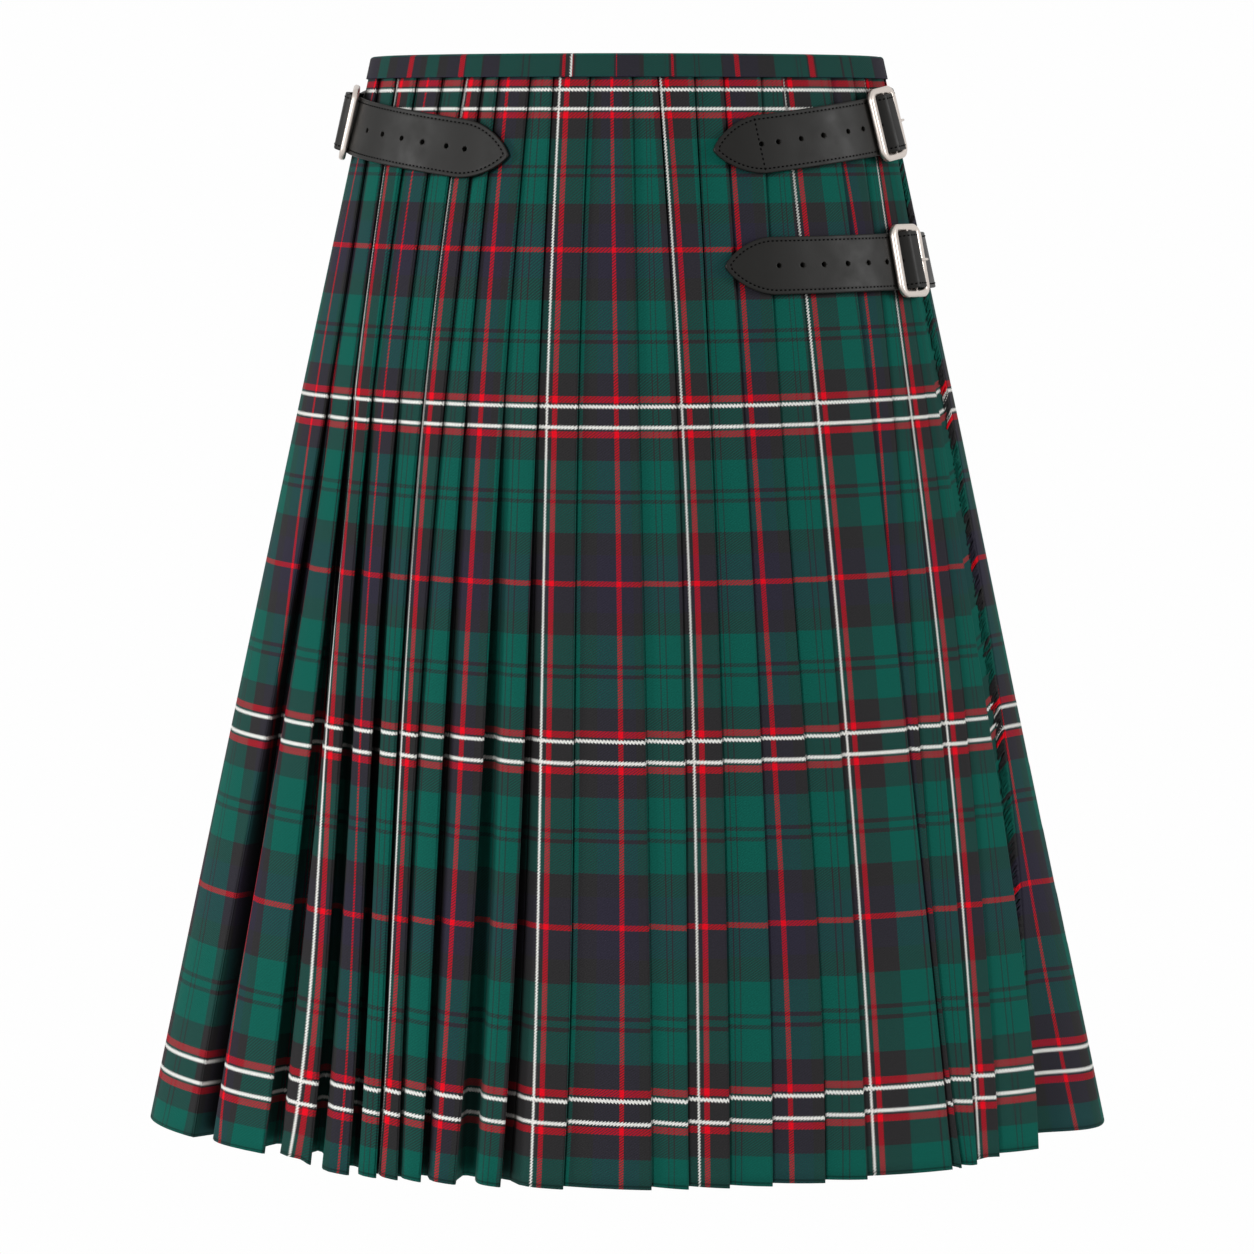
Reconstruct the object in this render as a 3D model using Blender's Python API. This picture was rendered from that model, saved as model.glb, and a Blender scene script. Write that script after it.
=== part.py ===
"""Scottish kilt, worn: a hollow wrap skirt of tartan cloth, pleated round the back,
with two flat aprons that overlap in front and three leather straps with buckles.

World frame, metres: +Z up, -Y to the pleated back, +Y to the aprons at the wearer's
front, +X to the wearer's right. The origin is the middle of the waist opening.

Every ring is read from FORM. An angle of 0 degrees is the centre back and 90 the
wearer's right hip; it runs on past 180 at the front, 270 at the left hip and 360 at
the centre back again, so the wrap is one strip from the over apron's free edge
through the pleats to the under apron's free edge. Depth is measured inward from
the middle of the outer layer of cloth, and drop down the cloth from the top edge.
"""

import math
from collections import namedtuple

import bmesh
import bpy
from mathutils import Matrix, Vector

COLLECTION = "scottish_kilt"
CUTTERS = "cutters"
MM = 0.001

# Driving sizes
KILT_DROP = 0.624
FELL_DROP = 0.19
HIP_DROP = 0.206
TOP_HEIGHT = 0.006
CLOTH = 0.0012
LAYER_GAP = 0.0006
LAYER = CLOTH + LAYER_GAP
SEAM = 0.0003
CLOTH_TOP = 0.0015

# The worn form: half the width, and how far it reaches back and front
Level = namedtuple("Level", "drop half_width back front")
FORM = (
    Level(0.000, 0.1435, 0.098, 0.094),
    Level(HIP_DROP, 0.1873, 0.124, 0.108),
    Level(KILT_DROP, 0.2745, 0.142, 0.138),
)
FORM_DROPS = tuple(row.drop for row in FORM)

# Folds of the knife pleats from the wearer's left to the right: angles of the fold at
# the waist, hip, middle and hem, then how far it stands open at the hem, in and
# sideways (mm)
Pleat = namedtuple("Pleat", "waist hip middle hem open_in open_side")
MIDDLE_DROP = 0.39
FOLD_DROPS = (0.0, HIP_DROP, MIDDLE_DROP, KILT_DROP)
PLEATS = tuple(Pleat(*row) for row in (
    (-74.4, -65.2, -63.9, -63.5, 11, 0),
    (-63.1, -56.3, -51.4, -47.9, 12, 0),
    (-53.5, -50.2, -44.7, -40.1, 10, 0),
    (-44.6, -43.2, -38.9, -34.3, 8, 0),
    (-38.1, -37.7, -34.5, -30.5, 5, 0),
    (-33.2, -33.1, -31.0, -27.6, 5, 0),
    (-29.1, -28.7, -26.8, -24.6, 6, 0),
    (-21.5, -21.6, -20.6, -20.3, 10, 7),
    (-16.3, -15.5, -14.6, -14.8, 7, 3),
    (-8.1, -8.4, -7.5, -7.4, 0, 0),
    (0.9, 1.9, 2.6, 2.8, 0, 0),
    (6.2, 8.4, 8.1, 7.1, 0, 0),
    (14.5, 14.2, 13.4, 11.9, 0, 0),
    (21.2, 20.1, 19.1, 17.0, 0, 0),
    (30.6, 26.9, 25.8, 23.5, 0, 0),
    (36.3, 33.5, 31.6, 29.0, 0, 0),
    (51.0, 46.6, 43.8, 41.3, 0, 0),
    (60.0, 52.4, 46.1, 42.8, 0, 0),
    (65.7, 57.2, 51.2, 45.4, 0, 0),
    (69.7, 64.0, 57.5, 49.5, 0, 0),
    (74.4, 69.9, 65.0, 57.6, 19, 0),
))
FOLD_DEPTH = 0.012
FOLD_SHARE = 0.6
FOLD_STEP = 0.0012
OPEN_POWER = 0.8

# Levels of drop at which the walls have a ring of points
LEVELS = (CLOTH_TOP, 0.014, 0.05, 0.11, FELL_DROP, 0.24, 0.30, 0.37, 0.45, 0.535, KILT_DROP)

# The over apron's free edge at the wearer's right (angles as for a fold), how it tucks
# in at the hem and how far round that reaches, and the fringe on it
EDGE = (86.0, 78.0, 70.3, 63.0)
EDGE_DIP = 0.015
EDGE_LIFT = 0.005
EDGE_REACH = 0.060
OVER_COLUMNS = 34
UNDER_COLUMNS = 26
EDGE_CROWDING = 1.15
FRINGE_BAND = 0.003
FRINGE_LENGTH = 0.008
FRINGE_LOCKS = 150
FRINGE_RISE = 0.004
FRINGE_THICKNESS = 0.0008

# The under apron lies inside the over apron
UNDER_EDGE = 624.0
UNDER_TOP = 0.0053
UNDER_LOW = 0.0020
UNDER_BLEND = (0.014, 0.11)
UNDER_LIFT = 0.004
BACK_TAIL = 0.024

# Waistband: a folded binding over the top edges
BAND = 0.001
BAND_HEIGHT = 0.0125
BAND_OUT = -0.0019
BAND_IN_APRON = -BAND_OUT
BAND_IN_BACK = 0.0077
BAND_WIDEN = (267.0, 280.0)
BAND_DIVE = (437.0, 446.0)
BAND_SPLIT = 452.0
BAND_STEP = 4.6
BAND_BUTT = 0.17
DIVE_SECTIONS = 6

# Straps of black leather and their buckles
LEATHER = 0.0022
LEATHER_EDGE = 0.0005
STRAP_WIDTH = 0.032
STRAP_TAPER = 0.028
STRAP_BLUNT = 0.0025
SURFACE = -CLOTH / 2
# Places of the centre bars; a strap runs free past its bar to the tip, tail behind it,
# and gains slope metres of drop for each metre toward the tip
Strap = namedtuple("Strap", "name angle drop tip_side free tail slope")
STRAPS = (
    Strap("waist_right", 68.0, 0.0395, -1, 0.115, 0.062, 0.12),
    Strap("hip_right", 65.5, 0.1172, -1, 0.1195, 0.066, 0.0),
    Strap("waist_left", 274.5, 0.0385, 1, 0.130, 0.034, 0.137),
)
BUCKLE_HEIGHT = 0.0415
BUCKLE_WIDTH = 0.033
BUCKLE_BAR = 0.0046
BUCKLE_RAIL = 0.0037
BUCKLE_THICKNESS = 0.0026
BUCKLE_CORNER = 0.006
CENTRE_BAR = 0.0022
BUCKLE_RISE = 0.0048
BUCKLE_LEAN = 3.0
STRAP_REST = 0.0008
BULGE = 0.0086
HUMP_REACH = 0.0110
HUMP_RISE = 0.0088
PRONG = 0.0017
CHAPE = 0.001
CHAPE_WIDTH = 0.028
CHAPE_LENGTH = 0.036
CHAPE_RUNS = (CHAPE_LENGTH, 0.030, 0.024, 0.018, 0.013, 0.008)
CHAPE_GAP = 0.0005
CHAPE_SLOT = 0.005


# ---------------------------------------------------------------- the form

def through(values, drops, drop):
    """Smooth curve through the values given at some drops, read at a drop."""
    total = 0.0
    for own, value in zip(drops, values):
        share = value
        for other in drops:
            if other != own:
                share *= (drop - other) / (own - other)
        total += share
    return total


def half_sizes(angle, drop):
    """Half width, and reach toward the back or the front, of the ring at a drop."""
    is_back = math.cos(math.radians(angle)) > 0
    reach = [row.back if is_back else row.front for row in FORM]
    half_width = [row.half_width for row in FORM]
    return through(half_width, FORM_DROPS, drop), through(reach, FORM_DROPS, drop)


def ring_point(angle, drop):
    """Place on the ring, in plan."""
    width, reach = half_sizes(angle, drop)
    turn = math.radians(angle)
    return Vector((width * math.sin(turn), -reach * math.cos(turn)))


def ring_speed(angle, drop):
    """Metres along the ring for each degree."""
    width, reach = half_sizes(angle, drop)
    turn = math.radians(angle)
    return math.hypot(width * math.cos(turn), reach * math.sin(turn)) * math.pi / 180


def outward(angle, drop):
    """Level outward direction of the ring."""
    width, reach = half_sizes(angle, drop)
    turn = math.radians(angle)
    return Vector((math.sin(turn) / width, -math.cos(turn) / reach)).normalized()


def height(angle, drop):
    """Height of the cloth, whose fall leans outward toward the hem."""
    spread = (ring_point(angle, KILT_DROP) - ring_point(angle, 0.0)).length / KILT_DROP
    return TOP_HEIGHT - drop * math.sqrt(1.0 - spread * spread)


def walk(angle, drop, distance):
    """Angle reached by going a distance along the ring."""
    steps = max(1, math.ceil(abs(distance) / (2 * MM)))
    for _ in range(steps):
        angle += distance / steps / ring_speed(angle, drop)
    return angle


def place(angle, drop, depth=0.0, along=0.0):
    """Point at a depth inside the outer layer, shifted along the ring."""
    angle = walk(angle, drop, along)
    flat = ring_point(angle, drop) - outward(angle, drop) * depth
    return Vector((flat.x, flat.y, height(angle, drop)))


def cloth_normal(angle, drop):
    """Direction square to the outside of the cloth, which leans out toward the hem."""
    fall = place(angle, drop + MM) - place(angle, drop - MM)
    along = place(angle + 0.5, drop) - place(angle - 0.5, drop)
    normal = fall.cross(along).normalized()
    return normal if normal.xy.dot(outward(angle, drop)) > 0 else -normal


# ---------------------------------------------------------------- mesh helpers

def material(name, colour, roughness, metallic=0.0):
    """Principled material for one sub-part."""
    made = bpy.data.materials.new(name)
    made.use_nodes = True
    shader = made.node_tree.nodes["Principled BSDF"]
    shader.inputs["Base Color"].default_value = (*colour, 1.0)
    shader.inputs["Roughness"].default_value = roughness
    shader.inputs["Metallic"].default_value = metallic
    return made


def add_object(name, mesh, surface, collection):
    """Link a mesh as a named object with its own material."""
    made = bpy.data.objects.new(name, mesh)
    mesh.materials.append(surface)
    collection.objects.link(made)
    return made


def mesh_from(points, faces):
    """Closed mesh with its faces turned outward."""
    mesh = bpy.data.meshes.new("wall")
    mesh.from_pydata([tuple(point) for point in points], [], faces)
    shape = bmesh.new()
    shape.from_mesh(mesh)
    bmesh.ops.recalc_face_normals(shape, faces=shape.faces)
    shape.to_mesh(mesh)
    shape.free()
    return mesh


def offset_line(line, amount):
    """Line in a plane moved sideways, with mitred corners."""
    moved = []
    for index, point in enumerate(line):
        before = line[max(index - 1, 0)]
        after = line[min(index + 1, len(line) - 1)]
        first = (point - before) if index else (after - point)
        second = (after - point) if index < len(line) - 1 else first
        first = first.normalized()
        second = second.normalized()
        side = Vector((first.y + second.y, -first.x - second.x)).normalized()
        stretch = max(side.dot(Vector((first.y, -first.x))), 0.5)
        moved.append(point + side * (amount / stretch))
    return moved


def wall(rows, thickness):
    """Wall of even thickness along rows of middle points, one row for each level."""
    points = []
    count = len(rows[0])
    for row in rows:
        flat = [Vector((point.x, point.y)) for point in row]
        for amount in (thickness / 2, -thickness / 2):
            for moved, point in zip(offset_line(flat, amount), row):
                points.append((moved.x, moved.y, point.z))
    faces = []

    def corner(level, side, column):
        return (level * 2 + side) * count + column

    for level in range(len(rows) - 1):
        for side in (0, 1):
            for column in range(count - 1):
                a = corner(level, side, column)
                b = corner(level, side, column + 1)
                c = corner(level + 1, side, column + 1)
                d = corner(level + 1, side, column)
                faces += [(a, b, c), (a, c, d)]
        for column in (0, count - 1):
            a = corner(level, 0, column)
            b = corner(level, 1, column)
            c = corner(level + 1, 1, column)
            d = corner(level + 1, 0, column)
            faces.append((a, b, c, d))
    for level in (0, len(rows) - 1):
        for column in range(count - 1):
            a = corner(level, 0, column)
            b = corner(level, 0, column + 1)
            c = corner(level, 1, column + 1)
            d = corner(level, 1, column)
            faces.append((a, b, c, d))
    return mesh_from(points, faces)


def loft(sections):
    """Closed skin over sections that have the same number of points."""
    count = len(sections[0])
    points = [point for section in sections for point in section]
    faces = [tuple(range(count)), tuple(range(len(points) - count, len(points)))]
    for index in range(len(sections) - 1):
        for corner in range(count):
            after = (corner + 1) % count
            a = index * count + corner
            b = index * count + after
            faces.append((a, b, b + count, a + count))
    return mesh_from(points, faces)


# ---------------------------------------------------------------- cloth layers

def ease(value):
    """Smooth step from 0 to 1."""
    value = min(max(value, 0.0), 1.0)
    return value * value * (3.0 - 2.0 * value)


def fold_angle(pleat, drop):
    """Angle of a pleat's fold at a drop."""
    return through(PLEATS[pleat][:4], FOLD_DROPS, drop)


def openness(drop):
    """How far the pleats have sprung open: 0 down to the end of the fell, 1 at the hem."""
    return max(0.0, (drop - FELL_DROP) / (KILT_DROP - FELL_DROP)) ** OPEN_POWER


def fold(pleat, drop, start_depth):
    """Points round a pleat's fold: depth and distance along from the fold's edge.

    Gives the two corners of the fold, the two corners of the hidden return, and the
    place where the next panel comes out from under it.
    """
    spring = openness(drop)
    open_in = PLEATS[pleat].open_in * MM
    open_side = PLEATS[pleat].open_side * MM
    spring_in = spring * max(open_in - 2 * LAYER, 0.0)
    shut = 1.0 - spring * (open_in > 0)
    if pleat:
        width = (fold_angle(pleat, drop) - fold_angle(pleat - 1, drop)) * ring_speed(
            fold_angle(pleat, drop), drop)
    else:
        width = EDGE_REACH
    tilt = start_depth / width
    back = min(FOLD_DEPTH, FOLD_SHARE * width) * shut
    side = open_side * spring - back
    return (
        (0.0, 0.0),
        (LAYER, 0.0),
        (LAYER + tilt * back + spring_in, side),
        (2 * LAYER + tilt * back + spring_in, side),
        (2 * LAYER + spring_in, FOLD_STEP + open_side * spring),
    )


def edge_angle(drop):
    """Angle of the over apron's free edge."""
    return through(EDGE, FOLD_DROPS, drop)


def edge_share(angle, drop):
    """1 at the over apron's free edge, falling to 0 a hand's width into the apron."""
    away = (angle - edge_angle(drop)) * ring_speed(angle, drop)
    return 1.0 - ease(away / EDGE_REACH)


def over_depth(angle, drop):
    """Depth of the over apron, which tucks in under the last pleat toward the hem."""
    low = max(0.0, (drop - FELL_DROP) / (KILT_DROP - FELL_DROP))
    return EDGE_DIP * low ** 1.3 * edge_share(angle, drop)


def under_depth(angle, drop):
    """Depth of the under apron, further in at the top where the bindings are."""
    start, end = UNDER_BLEND
    gap = UNDER_TOP + (UNDER_LOW - UNDER_TOP) * ease((drop - start) / (end - start))
    return over_depth(angle, drop) + gap


def apron_drop(angle, drop):
    """Drop of the over apron, whose corner is a little shorter."""
    return drop * (1.0 - EDGE_LIFT / KILT_DROP * edge_share(angle, drop))


def beside_edge(drop, along, inward):
    """Point beside the over apron's free edge, straight between the walls' levels."""
    index = max(i for i, level in enumerate(LEVELS[:-1]) if level <= drop)
    ends = []
    for level in LEVELS[index:index + 2]:
        angle = edge_angle(level)
        depth = over_depth(angle, level) + inward
        ends.append(place(angle, apron_drop(angle, level), depth, along))
    share = (drop - LEVELS[index]) / (LEVELS[index + 1] - LEVELS[index])
    return ends[0].lerp(ends[1], share)


def under_drop(angle, drop):
    """Drop of the layer inside the over apron, which hides its hem."""
    return apron_drop(angle, drop * (1.0 - UNDER_LIFT / KILT_DROP))


def over_apron_rows():
    """Over apron: its free edge, round the front, to the first fold's return."""
    rows = []
    for drop in LEVELS:
        start = edge_angle(drop)
        end = 360.0 + fold_angle(0, drop)
        row = []
        for index in range(OVER_COLUMNS):
            share = (index / OVER_COLUMNS) ** EDGE_CROWDING
            angle = start + (end - start) * share
            row.append(place(angle, apron_drop(angle, drop), over_depth(angle, drop)))
        for depth, along in fold(0, drop, 0.0)[:3]:
            row.append(place(end, drop, depth, along))
        rows.append(row)
    return rows


def pleated_back_rows():
    """Pleats, from under the first fold to under the over apron's free edge."""
    rows = []
    for drop in LEVELS:
        depth, along = fold(0, drop, 0.0)[2]
        row = [place(fold_angle(0, drop), drop, depth + CLOTH + SEAM, along)]
        depth, along = fold(0, drop, 0.0)[4]
        row.append(place(fold_angle(0, drop), drop, depth, along))
        start = depth
        for pleat in range(1, len(PLEATS)):
            for depth, along in fold(pleat, drop, start):
                row.append(place(fold_angle(pleat, drop), drop, depth, along))
            start = depth
        last = fold_angle(len(PLEATS) - 1, drop)
        for along in (BACK_TAIL / 2, BACK_TAIL):
            angle = walk(last, drop, along)
            row.append(place(angle, under_drop(angle, drop), under_depth(angle, drop)))
        rows.append(row)
    return rows


def under_apron_rows():
    """Under apron: from the pleats' end, inside the over apron, to its free edge."""
    rows = []
    for drop in LEVELS:
        start = walk(fold_angle(len(PLEATS) - 1, drop), drop, BACK_TAIL + SEAM)
        end = UNDER_EDGE - 360.0
        row = []
        for index in range(UNDER_COLUMNS + 1):
            angle = start + (end - start) * (index / UNDER_COLUMNS) ** EDGE_CROWDING
            row.append(place(angle, under_drop(angle, drop), under_depth(angle, drop)))
        rows.append(row)
    return rows


def fringe_mesh():
    """Fringed edge: a narrow band beside the over apron with slanting locks of threads."""
    first = BAND_HEIGHT + 0.004
    last = KILT_DROP - 0.001
    pitch = (last - first) / FRINGE_LOCKS
    points = []
    faces = []

    def pair(drop, along):
        """The outer and inner point at one place; gives the outer one's number."""
        for side in (-0.5, 0.5):
            points.append(beside_edge(drop, along, side * FRINGE_THICKNESS))
        return len(points) - 2

    band = -(SEAM + FRINGE_BAND)
    tip = band - FRINGE_LENGTH
    seam = pair(first, -SEAM)
    root = pair(first, band)
    faces.append((seam, root, root + 1, seam + 1))
    for lock in range(FRINGE_LOCKS):
        drop = first + lock * pitch
        rise = min(FRINGE_RISE, drop - BAND_HEIGHT)
        end = pair(drop + 0.45 * pitch - rise, tip)
        low = pair(drop + 0.8 * pitch, band)
        next_root = pair(drop + pitch, band)
        next_seam = pair(drop + pitch, -SEAM)
        faces.append((root, low, end))
        faces.append((root + 1, end + 1, low + 1))
        faces.append((root, end, end + 1, root + 1))
        faces.append((end, low, low + 1, end + 1))
        faces.append((low, next_root, next_root + 1, low + 1))
        faces.append((seam, next_seam, next_root, low, root))
        faces.append((seam + 1, root + 1, low + 1, next_root + 1, next_seam + 1))
        faces.append((seam, seam + 1, next_seam + 1, next_seam))
        seam = next_seam
        root = next_root
    faces.append((seam, seam + 1, root + 1, root))
    return mesh_from(points, faces)


# ---------------------------------------------------------------- waistband

def band_depths(angle):
    """Depths of the waistband's outer and inner wall round the wrap."""
    left_ramp = ease((angle - BAND_WIDEN[0]) / (BAND_WIDEN[1] - BAND_WIDEN[0]))
    inner = BAND_IN_APRON + (BAND_IN_BACK - BAND_IN_APRON) * left_ramp
    outer = BAND_OUT
    under = ease((angle - BAND_DIVE[0]) / (BAND_DIVE[1] - BAND_DIVE[0]))
    outer += (UNDER_TOP + BAND_OUT - outer) * under
    inner += (UNDER_TOP - BAND_OUT - inner) * under
    return outer, inner


def band_angles(start, end):
    """Angles of the waistband's sections, closer where it dives under the apron."""
    plain_end = end if start > BAND_DIVE[1] else BAND_DIVE[0]
    count = round((plain_end - start) / BAND_STEP)
    angles = [start + (plain_end - start) * index / count for index in range(count + 1)]
    if plain_end < end:
        dive = (BAND_DIVE[1] - BAND_DIVE[0]) / DIVE_SECTIONS
        angles += [plain_end + dive * index for index in range(1, DIVE_SECTIONS + 1)]
        angles.append(end)
    return angles


def band_sections(angles):
    """Sections of the binding: an upturned U over the cloth's top edge."""
    sections = []
    half = BAND / 2
    for angle in angles:
        outer, inner = band_depths(angle)
        profile = (
            (BAND_HEIGHT, outer - half),
            (0.0, outer - half),
            (0.0, inner + half),
            (BAND_HEIGHT, inner + half),
            (BAND_HEIGHT, inner - half),
            (BAND, inner - half),
            (BAND, outer + half),
            (BAND_HEIGHT, outer + half),
        )
        sections.append([place(angle, drop, depth) for drop, depth in profile])
    return sections


def band_mesh(start, end):
    """Waistband stretch; its U-shaped ends are closed with three faces each."""
    sections = band_sections(band_angles(start, end))
    size = len(sections[0])
    points = [point for section in sections for point in section]
    faces = []
    for base in (0, len(points) - size):
        faces.append((base, base + 1, base + 6, base + 7))
        faces.append((base + 1, base + 2, base + 5, base + 6))
        faces.append((base + 2, base + 3, base + 4, base + 5))
    for index in range(len(sections) - 1):
        for corner in range(size):
            a = index * size + corner
            b = index * size + (corner + 1) % size
            faces.append((a, b, b + size, a + size))
    return mesh_from(points, faces)


# ---------------------------------------------------------------- straps and buckles

class StrapLine:
    """Where a strap runs on the kilt, and the level frame of its buckle.

    A run is the distance from the buckle's centre bar, positive toward the tip.
    """

    def __init__(self, row):
        self.row = row
        normal = cloth_normal(row.angle, row.drop)
        ahead = self.on_cloth(MM, 0.0) - self.on_cloth(-MM, 0.0)
        ahead = (ahead - normal * ahead.dot(normal)).normalized()
        self.frame = Matrix((ahead, normal.cross(ahead), normal)).transposed().to_4x4()
        self.frame.translation = self.on_cloth(0.0, 0.0)
        self.down = -math.copysign(1.0, self.frame.col[1].z)

    def on_cloth(self, run, lift, across=0.0):
        """Point a lift above the cloth; across is measured down the cloth."""
        row = self.row
        drop = row.drop + row.slope * run + across
        angle = walk(row.angle, row.drop, (run - row.slope * across) * row.tip_side)
        return place(angle, drop, SURFACE) + cloth_normal(angle, drop) * lift

    def in_frame(self, run, lift, across):
        """The same point in a plane across the buckle: along the strap and out from it."""
        local = self.frame.inverted() @ self.on_cloth(run, lift, across * self.down)
        return Vector((local.x, local.z))


def strap_lift(run):
    """Lift of the strap's underside: over the chape, and over the buckle's centre bar."""
    if run > 0:
        on_chape = ease((CHAPE_LENGTH + 10 * MM - run) / (8 * MM))
    else:
        on_chape = ease(1.0 + run / HUMP_REACH)
    rest = STRAP_REST + (CHAPE + CHAPE_GAP) * on_chape
    hump = ease((HUMP_REACH - abs(run)) / HUMP_RISE)
    return rest + (BULGE - rest) * hump


def strap_half_width(from_tip):
    """Half width of the strap, whose end is a pointed oval."""
    share = min(from_tip / STRAP_TAPER, 1.0)
    return max(STRAP_WIDTH / 2 * (1.0 - (1.0 - share) ** 1.9) ** 0.75, STRAP_BLUNT)


def strap_runs(free, tail):
    """Distances from the centre bar at which the strap has a section, tip first."""
    near_tip = (0.0, 0.001, 0.003, 0.006, 0.010, 0.015, 0.021, 0.028)
    runs = [free - step for step in near_tip]
    plain = runs[-1] - 0.046
    runs += [runs[-1] - plain * index / 4 for index in range(1, 5)]
    runs += [0.042, 0.038, 0.031, 0.024, 0.017, HUMP_REACH]
    runs += [0.002 * step for step in range(5, -6, -1)]
    runs += [-HUMP_REACH, -0.018]
    left = tail - 0.018
    runs += [-0.018 - left * index / 4 for index in range(1, 5)]
    return runs


def strap_mesh(line):
    """Leather strap with eased edges, laid along the cloth."""
    sections = []
    ease_in = LEATHER_EDGE
    for run in strap_runs(line.row.free, line.row.tail):
        half = strap_half_width(line.row.free - run)
        lift = strap_lift(run)
        profile = (
            (-half + ease_in, 0.0),
            (half - ease_in, 0.0),
            (half, ease_in),
            (half, LEATHER - ease_in),
            (half - ease_in, LEATHER),
            (-half + ease_in, LEATHER),
            (-half, LEATHER - ease_in),
            (-half, ease_in),
        )
        sections.append([line.on_cloth(run, lift + up, across) for across, up in profile])
    return loft(sections)


def rounded_outline(width, tall, radius, centre, arc=4):
    """Corners of a rounded rectangle."""
    outline = []
    for turn, (sx, sy) in enumerate(((1, 1), (-1, 1), (-1, -1), (1, -1))):
        for step in range(arc + 1):
            angle = math.radians(90.0 * (turn + step / arc))
            x = centre + sx * (width / 2 - radius) + radius * math.cos(angle)
            y = sy * (tall / 2 - radius) + radius * math.sin(angle)
            outline.append((x, y))
    return outline


def curve_mesh(curve, collection):
    """Mesh of a curve, with its caps welded on."""
    guide = bpy.data.objects.new("guide", curve)
    collection.objects.link(guide)
    bpy.context.view_layer.update()
    found = bpy.context.evaluated_depsgraph_get()
    mesh = bpy.data.meshes.new_from_object(guide.evaluated_get(found))
    shape = bmesh.new()
    shape.from_mesh(mesh)
    bmesh.ops.remove_doubles(shape, verts=shape.verts, dist=0.00001)
    bmesh.ops.recalc_face_normals(shape, faces=shape.faces)
    shape.to_mesh(mesh)
    shape.free()
    bpy.data.objects.remove(guide)
    return mesh


def buckle_mesh(collection):
    """Full frame with two windows, which leave a bar between them."""
    bevel = 0.0006
    curve = bpy.data.curves.new("frame", "CURVE")
    curve.dimensions = "2D"
    curve.fill_mode = "BOTH"
    curve.extrude = BUCKLE_THICKNESS / 2 - bevel
    curve.bevel_depth = bevel
    curve.bevel_resolution = 1
    window_wide = (BUCKLE_WIDTH - 2 * BUCKLE_BAR - CENTRE_BAR) / 2
    window_tall = BUCKLE_HEIGHT - 2 * BUCKLE_RAIL
    window_at = (CENTRE_BAR + window_wide) / 2
    outlines = [rounded_outline(BUCKLE_WIDTH - 2 * bevel, BUCKLE_HEIGHT - 2 * bevel,
                                BUCKLE_CORNER, 0.0)]
    for centre in (-window_at, window_at):
        outlines.append(rounded_outline(window_wide + 2 * bevel, window_tall + 2 * bevel,
                                        0.0016, centre, 3))
    for outline in outlines:
        spline = curve.splines.new("POLY")
        spline.points.add(len(outline) - 1)
        for point, (x, y) in zip(spline.points, outline):
            point.co = (x, y, 0.0, 1.0)
        spline.use_cyclic_u = True
    return curve_mesh(curve, collection)


def prong_path():
    """Prong in the buckle's plane: a hook round the centre bar and a rod to the outer bar."""
    round_bar = CENTRE_BAR * 0.64 + PRONG / 2 + SEAM
    path = [Vector((-0.0158, BUCKLE_THICKNESS / 2 + PRONG / 2 + SEAM))]
    path.append(Vector((-0.0120, BUCKLE_THICKNESS / 2 + PRONG / 2 + 0.0005)))
    path.append(Vector((-0.0050, round_bar - 0.0001)))
    for step in range(9):
        turn = math.radians(90.0 - 30.0 * step)
        path.append(Vector((round_bar * math.cos(turn), round_bar * math.sin(turn))))
    return path


def prong_mesh(collection, radius):
    """Prong as a bent wire."""
    curve = bpy.data.curves.new("prong", "CURVE")
    curve.dimensions = "3D"
    curve.bevel_depth = radius
    curve.bevel_resolution = 1
    curve.use_fill_caps = True
    path = prong_path()
    spline = curve.splines.new("POLY")
    spline.points.add(len(path) - 1)
    for index, (point, spot) in enumerate(zip(spline.points, path)):
        point.co = (spot.x, 0.0, spot.y, 1.0)
        point.radius = 0.7 if index == 0 else 1.0
    return curve_mesh(curve, collection)


def chape_mesh(line, seat):
    """Leather tab sewn under the strap, turned round the buckle's centre bar."""
    around = CENTRE_BAR * 0.64 + SEAM + 0.0001 + CHAPE / 2
    centre = Vector((0.0, seat))
    loop = []
    for step in range(10):
        turn = math.radians(-60.0 - 30.0 * step)
        loop.append(centre + Vector((math.cos(turn), math.sin(turn))) * around)
    sections = []
    for part in range(5):
        across = CHAPE_WIDTH * (part / 4 - 0.5)
        path = [line.in_frame(run, STRAP_REST + CHAPE / 2, across) for run in CHAPE_RUNS] + loop
        outline = offset_line(path, CHAPE / 2) + offset_line(path, -CHAPE / 2)[::-1]
        sections.append([Vector((spot.x, across, spot.y)) for spot in outline])
    return loft(sections)


def cut(target, cutter_mesh, name, cutters):
    """Take a cutter away from an object with a Boolean."""
    cutter = bpy.data.objects.new(name, cutter_mesh)
    cutter.matrix_world = target.matrix_world
    cutter.hide_render = True
    cutter.display_type = "WIRE"
    cutters.objects.link(cutter)
    change = target.modifiers.new(name, "BOOLEAN")
    change.operation = "DIFFERENCE"
    change.object = cutter
    return cutter


def box_mesh(low, high):
    """Box between two corners."""
    shape = bmesh.new()
    bmesh.ops.create_cube(shape, size=1.0)
    size = Vector(high) - Vector(low)
    middle = (Vector(high) + Vector(low)) / 2
    bmesh.ops.transform(shape, matrix=Matrix.LocRotScale(middle, None, size), verts=shape.verts)
    mesh = bpy.data.meshes.new("box")
    shape.to_mesh(mesh)
    shape.free()
    return mesh


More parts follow.
